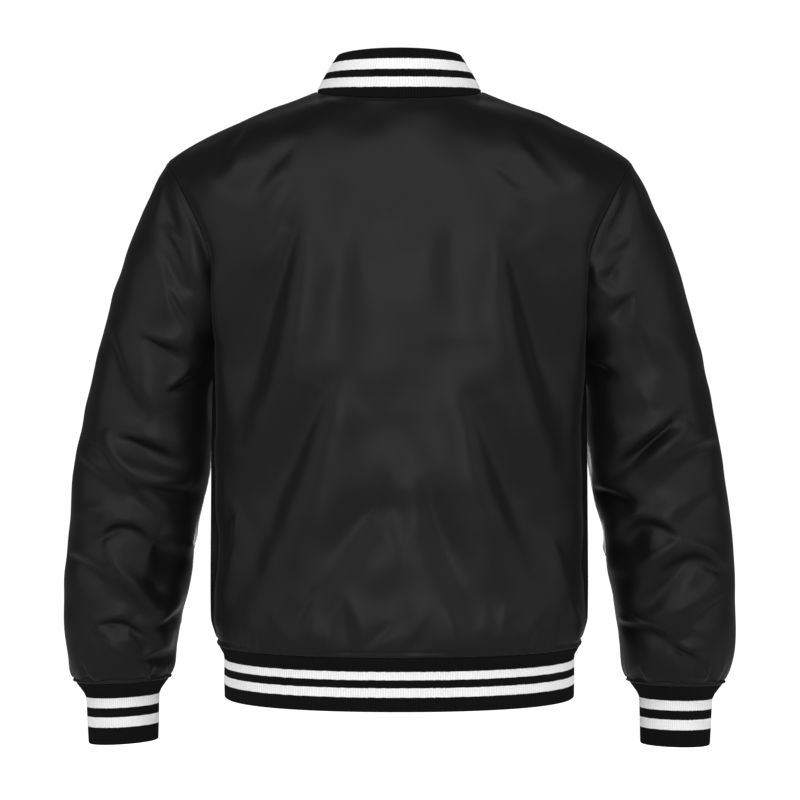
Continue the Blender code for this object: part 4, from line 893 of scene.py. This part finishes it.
def knit_band(name, rows, wraps, ribs, from_top=None):
    """A folded band of rib. The rows run from under the seam to the folded edge on its outer face; the
    inner face is plain. Its UV map counts ribs across and metres from the seam along, or from_top less
    the distance from the fold where the stripes keep to the folded edge."""
    normals = outward_normals(rows, wraps)
    count, columns = rows.shape[:2]
    phase, wave = rib_wave(ribs)
    phase = phase[:columns]
    wave = wave[:columns]
    away = from_edge(rows, "top") - TUCK
    from_fold = away[-1:] - away
    flat = np.clip(1 - away / TUCK, 0, 2)
    along = away if from_top is None else from_top - from_fold
    outer = rows + normals * (RIB_DEPTH * wave * np.clip(1 - flat, 0, 1) - TUCK_SINK * flat ** 2)[..., None]
    bend = np.clip(1 - from_fold / EDGE_ROUNDING, 0, 1)
    rounded = (RIB_WALL / 2 * (1 - np.sqrt(1 - FULL_BEND * bend ** 2)))[..., None]
    outer = outer - normals * rounded
    keep = np.unique(np.concatenate([[0], np.arange(2, count - 2, 3), [count - 2, count - 1]]))
    inner = (rows - normals * RIB_WALL)[keep]
    inner = inner + normals[keep] * rounded[keep]
    ring = np.concatenate([outer, inner[::-1]])
    ring_away = np.concatenate([along, along[keep][::-1]])
    total = len(ring)
    i, j = np.meshgrid(np.arange(total), np.arange(columns if wraps else columns - 1), indexing="ij")
    i, j = i.ravel(), j.ravel()
    n = (i + 1) % total
    k = (j + 1) % columns
    quads = np.stack([i * columns + j, i * columns + k, n * columns + k, n * columns + j], 1)
    right = np.append(phase, columns / COLUMNS_PER_RIB)[j + 1]
    corners = ((phase[j], i, j), (right, i, k), (right, n, k), (phase[j], n, j))
    uv = np.stack([np.stack([at, ring_away[row, spot]], 1) for at, row, spot in corners], 1)
    across = rows[0, 1] - rows[0, 0]
    if np.cross(across, rows[1, 0] - rows[0, 0]) @ normals[0, 0] < 0:
        quads, uv = quads[:, ::-1], uv[:, ::-1]
    faces = quads.tolist()
    uv = uv.reshape(-1, 2)
    if not wraps:
        ends = [np.arange(total) * columns, np.arange(total) * columns + columns - 1]
        points_all = ring.reshape(-1, 3)
        outer_rows = list(range(count))
        inner_rows = list(range(total - 1, count - 1, -1))
        for end, inward in zip(ends, (1, -1)):
            for a in range(len(inner_rows) - 1):
                loop = outer_rows[keep[a]:keep[a + 1] + 1] + [inner_rows[a + 1], inner_rows[a]]
                corner = points_all[end[loop]]
                area = np.zeros(3)
                for c in range(1, len(loop) - 1):
                    area += np.cross(corner[c] - corner[0], corner[c + 1] - corner[0])
                facing_out = points_all[end[loop[0]]] - points_all[end[loop[0]] + inward]
                if area @ facing_out < 0:
                    loop = loop[::-1]
                faces.append([int(end[row]) for row in loop])
                column_at = 0 if inward == 1 else columns - 1
                uv = np.concatenate([uv, [[phase[column_at], ring_away[row, column_at]] for row in loop]])
    return mesh_piece(name, ring.reshape(-1, 3), faces, uv)


# Knit stitches: each rib is a column of small V-shaped loops; a second mask marks painted shade in the
# valleys between ribs.
knit, knit_in, knit_out = new_group(
    "knit_stitches",
    [("Rib", "NodeSocketFloat", 0.0), ("Along", "NodeSocketFloat", 0.0),
     ("Stitch Length", "NodeSocketFloat", 0.0017)],
    [("Height", "NodeSocketFloat"), ("Valley Shade", "NodeSocketFloat")],
)
in_rib = math_node(knit, "FRACT", math_node(knit, "ADD", knit_in.outputs["Rib"], 0.5))
in_rib = math_node(knit, "SUBTRACT", in_rib, 0.5)
apart = math_node(knit, "ABSOLUTE", in_rib)
rows_on = math_node(knit, "DIVIDE", knit_in.outputs["Along"], knit_in.outputs["Stitch Length"])
slanted = math_node(knit, "MULTIPLY_ADD", apart, 1.3, rows_on)
loops_height = math_node(knit, "SINE", math_node(knit, "MULTIPLY", slanted, 2 * math.pi))
# Painted shade: this mask grows from 0 on a rib's top to 1 in the valley between ribs, where the colour is
# darkened.
valley_shade = math_node(knit, "SMOOTH_MIN", 1.0, math_node(knit, "MULTIPLY", apart, 2.0), 0.1)
split_v = math_node(knit, "LESS_THAN", apart, 0.05)
stitch = math_node(knit, "MULTIPLY_ADD", loops_height, 0.5, 0.5)
stitch = math_node(knit, "SUBTRACT", stitch, math_node(knit, "MULTIPLY", split_v, 0.5))
plug(knit, knit_out.inputs["Height"], stitch)
plug(knit, knit_out.inputs["Valley Shade"], math_node(knit, "POWER", valley_shade, 3.0))

# Two stripes at set distances from the seam, their edges stepped from rib to rib as knitted ones are.
stripes, stripes_in, stripes_out = new_group(
    "two_stripes",
    [(label, "NodeSocketFloat", value) for label, value in (
        ("Rib", 0.0), ("Along", 0.0), ("First Start", 0.0163), ("First End", 0.0252),
        ("Second Start", 0.0333), ("Second End", 0.0430), ("Jog", 0.0004))],
    [("Mask", "NodeSocketFloat")],
)
whole = math_node(stripes, "FLOOR", math_node(stripes, "ADD", stripes_in.outputs["Rib"], 0.5))
chance = add_node(stripes, "ShaderNodeTexWhiteNoise", noise_dimensions="1D")
plug(stripes, chance.inputs["W"], whole)
within = math_node(stripes, "SUBTRACT", stripes_in.outputs["Rib"], whole)
bowed = math_node(stripes, "MULTIPLY", math_node(stripes, "ABSOLUTE", within), 1.2)
jog = math_node(stripes, "ADD", chance.outputs["Value"], bowed)
jog = math_node(stripes, "MULTIPLY", jog, stripes_in.outputs["Jog"])
along_stripe = math_node(stripes, "ADD", stripes_in.outputs["Along"], jog)
bands = []
for number in ("First", "Second"):
    after = math_node(stripes, "GREATER_THAN", along_stripe, stripes_in.outputs[number + " Start"])
    before = math_node(stripes, "LESS_THAN", along_stripe, stripes_in.outputs[number + " End"])
    bands.append(math_node(stripes, "MULTIPLY", after, before))
plug(stripes, stripes_out.inputs["Mask"], math_node(stripes, "MAXIMUM", bands[0], bands[1]))


# Each pair is a rib's own colour and a darker copy of it, which is painted shade for the valleys between
# ribs.
KNIT_BLACK = ((0.0048, 0.0048, 0.0052, 1.0), (0.0009, 0.0009, 0.0010, 1.0))
KNIT_WHITE = ((0.96, 0.96, 0.955, 1.0), (0.80, 0.80, 0.80, 1.0))


def rib_material(name, edges):
    """Black rib with its two white stripes at these distances from the seam."""
    material, tree, shader = new_material(name, {
        "Metallic": 0.0, "Roughness": 0.92, "IOR": 1.2, "Sheen Weight": 0.02, "Sheen Roughness": 0.5})
    place = add_node(tree, "ShaderNodeUVMap", uv_map="UVMap").outputs["UV"]
    split = add_node(tree, "ShaderNodeSeparateXYZ", {0: place})
    on_rib = {"Rib": split.outputs["X"], "Along": split.outputs["Y"]}
    knitted = add_node(tree, "ShaderNodeGroup", {"Stitch Length": 0.0017}, node_tree=knit)
    striped = add_node(tree, "ShaderNodeGroup", {"Jog": 0.0004}, node_tree=stripes)
    for label, value in zip(("First Start", "First End", "Second Start", "Second End"), edges):
        striped.inputs[label].default_value = value
    for group in (knitted, striped):
        for label, socket in on_rib.items():
            plug(tree, group.inputs[label], socket)
    object_place = add_node(tree, "ShaderNodeTexCoord").outputs["Object"]
    fuzz = add_node(tree, "ShaderNodeTexNoise", {"Scale": 900.0, "Detail": 2.0, "Vector": object_place})
    # Painted shade: each yarn colour darkens towards the valleys between the ribs.
    black, white = [mixed(tree, knitted.outputs["Valley Shade"], *pair) for pair in (KNIT_BLACK, KNIT_WHITE)]
    height = math_node(tree, "MULTIPLY_ADD", fuzz.outputs["Fac"], 0.5, knitted.outputs["Height"])
    bump = add_node(tree, "ShaderNodeBump", {"Strength": 0.5, "Distance": 0.00035, "Height": height})
    plug(tree, shader.inputs["Base Color"], mixed(tree, striped.outputs["Mask"], black, white))
    plug(tree, shader.inputs["Normal"], bump.outputs["Normal"])
    return material


turn = np.linspace(0, 2 * math.pi, 1441)
neck_line = even_run(neck_point(turn), COLLAR_RIBS * COLUMNS_PER_RIB + 1)
neck_run = np.cumsum(np.linalg.norm(np.diff(neck_line, axis=0), axis=-1))
trim_end = int(np.searchsorted(neck_run, COLLAR_END_GAP)) + 1
neck_line = neck_line[trim_end:-trim_end]
neck_depth = np.where(neck_line[:, 1] > 0, NECK_BACK_DEPTH, NECK_FRONT_DEPTH)
neck_turn = np.unwrap(np.arctan2(neck_line[:, 0] / NECK_HALF_WIDTH, -neck_line[:, 1] / neck_depth))
in_back = np.cos(neck_turn) < 0
top_depth = np.where(in_back, COLLAR_TOP_BACK_DEPTH, COLLAR_TOP_FRONT_DEPTH)
from_front = np.degrees(np.minimum(neck_turn, 2 * math.pi - neck_turn))
top_z = smooth(COLLAR_TOP, "angle", "z", from_front)
top = points(COLLAR_TOP_HALF_WIDTH * np.sin(neck_turn), -top_depth * np.cos(neck_turn), top_z)
from_end = NECK_HALF_WIDTH * np.minimum(neck_turn, 2 * math.pi - neck_turn) / COLLAR_END_RADIUS
rounding = np.sqrt(1 - (1 - np.clip(from_end, 0, 1)) ** 2)
height = COLLAR_END_HEIGHT + (1 - COLLAR_END_HEIGHT) * rounding
outward = unit(neck_line * np.array([1.0, 1.0, 0.0]))
collar_steps = finer_ends(np.linspace(0, 1, 15))
collar_rows = []
for up in collar_steps:
    reach = (up * height)[:, None]
    bulge = outward * COLLAR_BULGE * 4 * reach * (1 - reach)
    collar_rows.append(neck_line + (top - neck_line) * reach + bulge)
tucked = neck_line - TUCK * np.array([0.0, 0.0, 1.0])
collar_rows = np.array([tucked, (tucked + neck_line) / 2] + collar_rows)
collar = knit_band("collar_knit", collar_rows, False, COLLAR_RIBS, COLLAR_HEIGHT)
collar.data.materials.append(rib_material("collar_knit", (0.0117, 0.0222, 0.0305, 0.0417)))
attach(collar, "root")
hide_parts("collar_rib")

# ------------------------------------------------------------------------------------------------------
# HEM BAND. One strip of the same rib round the body. It draws the satin in, and its ends lap as the
# fronts do.
HEM_RIBS = 404
Band = namedtuple("Band", "down inset")
HEM_BAND = [
    Band(0.000, 0.0000),
    Band(0.006, 0.0032),
    Band(0.013, 0.0064),
    Band(0.033, 0.0062),
    Band(0.0562, 0.0066),
]


def band_rows(line, outward, bands, down, count):
    """Rows of a rib band below a seam line, drawn in from it by its table."""
    at = finer_ends(np.linspace(0, bands[-1].down, count))
    at = np.concatenate([[-TUCK, -TUCK / 2], at])
    inset = smooth(bands, "down", "inset", np.maximum(at, 0))
    return np.array([line + down * d - outward * i for d, i in zip(at, inset)])


left_line = np.concatenate([front_half[-1:, 0] - np.array([LAP_HALF_WIDTH, 0.0, 0.0]), front_half[-1]])
right_line = left_line * np.array([-1.0, 1.0, 1.0])
ramp = ease((np.abs(right_line[:, 0]) - LAP_RAMP[0]) / (LAP_RAMP[1] - LAP_RAMP[0]))
right_line = right_line + np.array([0.0, 1.0, 0.0]) * (LAP_SUNK_DEEP * (1 - ramp))[:, None]
behind_left = half[-1, ::-1]
behind_right = half[-1] * np.array([-1.0, 1.0, 1.0])
hem_line = np.concatenate([left_line, behind_left[1:], behind_right[1:-1], right_line[::-1]])
hem_line = even_run(hem_line, HEM_RIBS * COLUMNS_PER_RIB + 1)
hem_outward = np.cross(np.gradient(hem_line, axis=0), np.array([0.0, 0.0, 1.0]))
for _ in range(30):
    hem_outward[1:-1] = (hem_outward[:-2] + 2 * hem_outward[1:-1] + hem_outward[2:]) / 4
hem_outward = unit(hem_outward)
if np.sum(hem_outward * hem_line) < 0:
    hem_outward = -hem_outward
hem_rows = band_rows(hem_line, hem_outward, HEM_BAND, np.array([0.0, 0.0, -1.0]), 12)
hem = knit_band("hem_knit", hem_rows, False, HEM_RIBS)
hem.data.materials.append(rib_material("hem_knit", (0.0166, 0.0250, 0.0333, 0.0428)))
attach(hem, "root")
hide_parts("hem_rib")

# ------------------------------------------------------------------------------------------------------
# CUFFS. Short tubes of rib that draw the sleeves in at the wrists and lean inwards a little.
CUFF_RIBS = 98
CUFF_LEAN = 0.015
CUFF_BAND = [
    Band(0.000, 0.0000),
    Band(0.008, 0.0060),
    Band(0.016, 0.0108),
    Band(0.040, 0.0118),
    Band(0.0665, 0.0128),
]
for name, flip in (("left", 1.0), ("right", -1.0)):
    line = even_run(cuff_lines[name], CUFF_RIBS * COLUMNS_PER_RIB, closed=True)
    outward = unit((line - line.mean(axis=0)) * np.array([1.0, 1.0, 0.0]))
    cuff_rows = band_rows(line, outward, CUFF_BAND, np.array([-CUFF_LEAN * flip, 0.0, -1.0]), 13)
    cuff = knit_band(f"cuff_{name}_knit", cuff_rows, True, CUFF_RIBS)
    cuff.data.materials.append(rib_material(f"cuff_{name}_knit", (0.0200, 0.0305, 0.0405, 0.0515)))
    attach(cuff, "root")
    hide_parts(f"cuff_{name}")

# ------------------------------------------------------------------------------------------------------
# SNAPS. Seven small domed caps in black enamel down the left front, one of them on the hem band.
SNAP_RADIUS = 0.0075
SNAP_HEIGHTS = (-0.105, -0.190, -0.275, -0.360, -0.445, -0.530)
SNAP_THICK = 0.0024
SNAP_GAP = 0.0002
SNAP_RINGS = ((0.0009, 0.0), (0.0007, -0.0005), (0.0010, 0.0002), (0.0016, 0.0003))
HEM_SNAP_DOWN = 0.033
ENAMEL_DARK = (0.009, 0.009, 0.010, 1.0)
ENAMEL_LIGHT = (0.018, 0.018, 0.019, 1.0)
enamel, tree, shader = new_material(
    "black_snap_enamel", {"Metallic": 0.0, "Coat Weight": 0.3, "Coat Roughness": 0.15})
place = add_node(tree, "ShaderNodeTexCoord").outputs["Object"]
worn = add_node(tree, "ShaderNodeGroup", {"Patches per Metre": 420.0, "Place": place}, node_tree=wear)
mask = worn.outputs["Mask"]
plug(tree, shader.inputs["Base Color"], mixed(tree, mask, ENAMEL_DARK, ENAMEL_LIGHT))
plug(tree, shader.inputs["Roughness"], math_node(tree, "MULTIPLY_ADD", mask, 0.2, 0.18))

front_grid, front_normals = front_edges["left"]
places = []
column_at = int(np.argmin(np.abs(front_grid[60, :, 0])))
for height in SNAP_HEIGHTS:
    line = front_grid[:, column_at]
    row_at = int(np.argmin(np.abs(line[:, 2] - height)))
    places.append((line[row_at], front_normals[row_at, column_at]))
row_at = int(np.argmin(np.abs(hem_rows[:, 0, 2] - (HEM_SEAM_Z - HEM_SNAP_DOWN))))
column_at = int(np.argmin(np.abs(hem_rows[0, :len(hem_line) // 4, 0])))
places.append((hem_rows[row_at, column_at], hem_outward[column_at]))
for number, (centre, normal) in enumerate(places, start=1):
    bpy.ops.object.select_all(action="DESELECT")
    bpy.ops.mesh.primitive_cylinder_add(
        vertices=40, radius=SNAP_RADIUS, depth=SNAP_THICK, end_fill_type="NGON",
        location=(0, 0, SNAP_THICK / 2))
    cap = bpy.context.object
    cap.name = f"snap_cap_{number}"
    bpy.ops.object.transform_apply(location=True, rotation=True, scale=True)
    bpy.ops.object.mode_set(mode="EDIT")
    bpy.ops.mesh.select_mode(type="FACE")
    bpy.ops.mesh.select_all(action="DESELECT")
    edit = bmesh.from_edit_mesh(cap.data)
    edit.faces.ensure_lookup_table()
    for face in edit.faces:
        face.select = face.normal.z > 0.9
    bmesh.update_edit_mesh(cap.data)
    for thick, up in SNAP_RINGS:
        bpy.ops.mesh.inset(thickness=thick, depth=up)
    bpy.ops.object.mode_set(mode="OBJECT")
    bevel = cap.modifiers.new("edge", "BEVEL")
    bevel.width = 0.0005
    bevel.segments = 3
    bevel.limit_method = "ANGLE"
    bpy.ops.object.modifier_apply(modifier="edge")
    bpy.ops.object.shade_smooth_by_angle(angle=math.radians(40))
    up = np.array([0.0, 0.0, 1.0])
    across = unit(np.cross(up, normal))
    rise = np.cross(normal, across)
    turned = np.stack([across, rise, normal], axis=1)
    flat_points = np.array([vertex.co[:] for vertex in cap.data.vertices])
    placed = flat_points @ turned.T + centre + normal * SNAP_GAP
    cap.data.vertices.foreach_set("co", placed.reshape(-1).astype(np.float32))
    cap.data.update()
    cap.data.materials.append(enamel)
    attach(cap, "root")
    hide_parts(f"snap_{number}")

# ------------------------------------------------------------------------------------------------------
# STUDIO. A pale flat disc of floor that brightens into white air further out, soft lights, and the camera
# at the photo's angle: level, behind the jacket and at its middle. Most of the light comes from the
# camera's side; two lights on the other side reach the chest.
FLOOR_Z = -1.15
FLOOR_RADIUS = 12.0
FLOOR_GLOW = {"From Min": 1.6, "From Max": 4.2, "To Min": 0.15, "To Max": 1.06}
bpy.ops.object.select_all(action="DESELECT")
bpy.ops.mesh.primitive_circle_add(
    vertices=96, radius=FLOOR_RADIUS, fill_type="NGON", location=(0, 0, FLOOR_Z))
floor = bpy.context.object
floor.name = "studio_floor"
bpy.ops.object.transform_apply(location=True, rotation=True, scale=True)
paper, tree, shader = new_material(
    "studio_paper", {"Base Color": (0.90, 0.90, 0.90, 1.0), "Roughness": 0.95, "Emission Strength": 1.0})
place = add_node(tree, "ShaderNodeTexCoord").outputs["Object"]
away = add_node(tree, "ShaderNodeVectorMath", {0: place}, operation="LENGTH").outputs["Value"]
glow = add_node(tree, "ShaderNodeMapRange", {**FLOOR_GLOW, "Value": away}).outputs["Result"]
seen = add_node(tree, "ShaderNodeLightPath").outputs["Is Camera Ray"]
plug(tree, shader.inputs["Emission Color"], math_node(tree, "MULTIPLY", glow, seen))
floor.data.materials.append(paper)

# The air is white behind the jacket, and gives less light than it shows.
AIR_SEEN = 1.06
AIR_LIGHT = 0.05
world = bpy.data.worlds.new("studio_air")
world.use_nodes = True
tree = world.node_tree
air = tree.nodes["Background"]
air.inputs["Color"].default_value = (1.0, 1.0, 1.0, 1.0)
seen = add_node(tree, "ShaderNodeLightPath").outputs["Is Camera Ray"]
plug(tree, air.inputs["Strength"], math_node(tree, "MULTIPLY_ADD", seen, AIR_SEEN - AIR_LIGHT, AIR_LIGHT))
bpy.context.scene.world = world

Light = namedtuple("Light", "name x y z width height power")
LIGHTS = [
    Light("front_soft", 0.0, 4.2, 0.3, 2.0, 2.0, 49.0),
    Light("front_high", 0.0, 2.8, 2.4, 2.0, 1.4, 28.0),
    Light("upper_left", 2.0, 2.2, 2.2, 1.6, 1.4, 26.0),
    Light("upper_right", -2.0, 2.2, 2.2, 1.6, 1.4, 24.0),
    Light("side_left", 2.7, 2.7, 0.2, 1.6, 1.8, 17.0),
    Light("side_right", -2.7, 2.7, 0.2, 1.6, 1.8, 16.0),
    Light("end_left", 3.4, 0.9, 0.2, 1.6, 1.8, 12.0),
    Light("end_right", -3.4, 0.9, 0.2, 1.6, 1.8, 12.0),
    Light("chest_soft", 0.0, -3.6, -0.33, 0.8, 0.8, 32.0),
    Light("chest_high", 0.0, -2.6, 2.6, 1.6, 1.2, 3.0),
]
LIGHTS_AIM = Vector((0.0, 0.0, -0.33))
for row in LIGHTS:
    light = bpy.data.lights.new(row.name, "AREA")
    light.shape = "RECTANGLE"
    light.size = row.width
    light.size_y = row.height
    light.energy = row.power
    lamp = bpy.data.objects.new(row.name, light)
    bpy.context.scene.collection.objects.link(lamp)
    lamp.location = (row.x, row.y, row.z)
    lamp.rotation_euler = (LIGHTS_AIM - lamp.location).to_track_quat("-Z", "Y").to_euler()

CAMERA_X = -0.00075
CAMERA_Z = -0.3263
CAMERA_DISTANCE = 2.8
PICTURE_HALF_WIDTH = 0.428
camera_data = bpy.data.cameras.new("photo_camera")
camera_data.angle = 2 * math.atan(PICTURE_HALF_WIDTH / CAMERA_DISTANCE)
camera_data.clip_end = 50.0
camera = bpy.data.objects.new("photo_camera", camera_data)
bpy.context.scene.collection.objects.link(camera)
camera.location = (CAMERA_X, CAMERA_DISTANCE, CAMERA_Z)
camera.rotation_euler = (math.pi / 2, 0.0, math.pi)
bpy.context.scene.camera = camera
bpy.context.scene.view_settings.view_transform = "Standard"
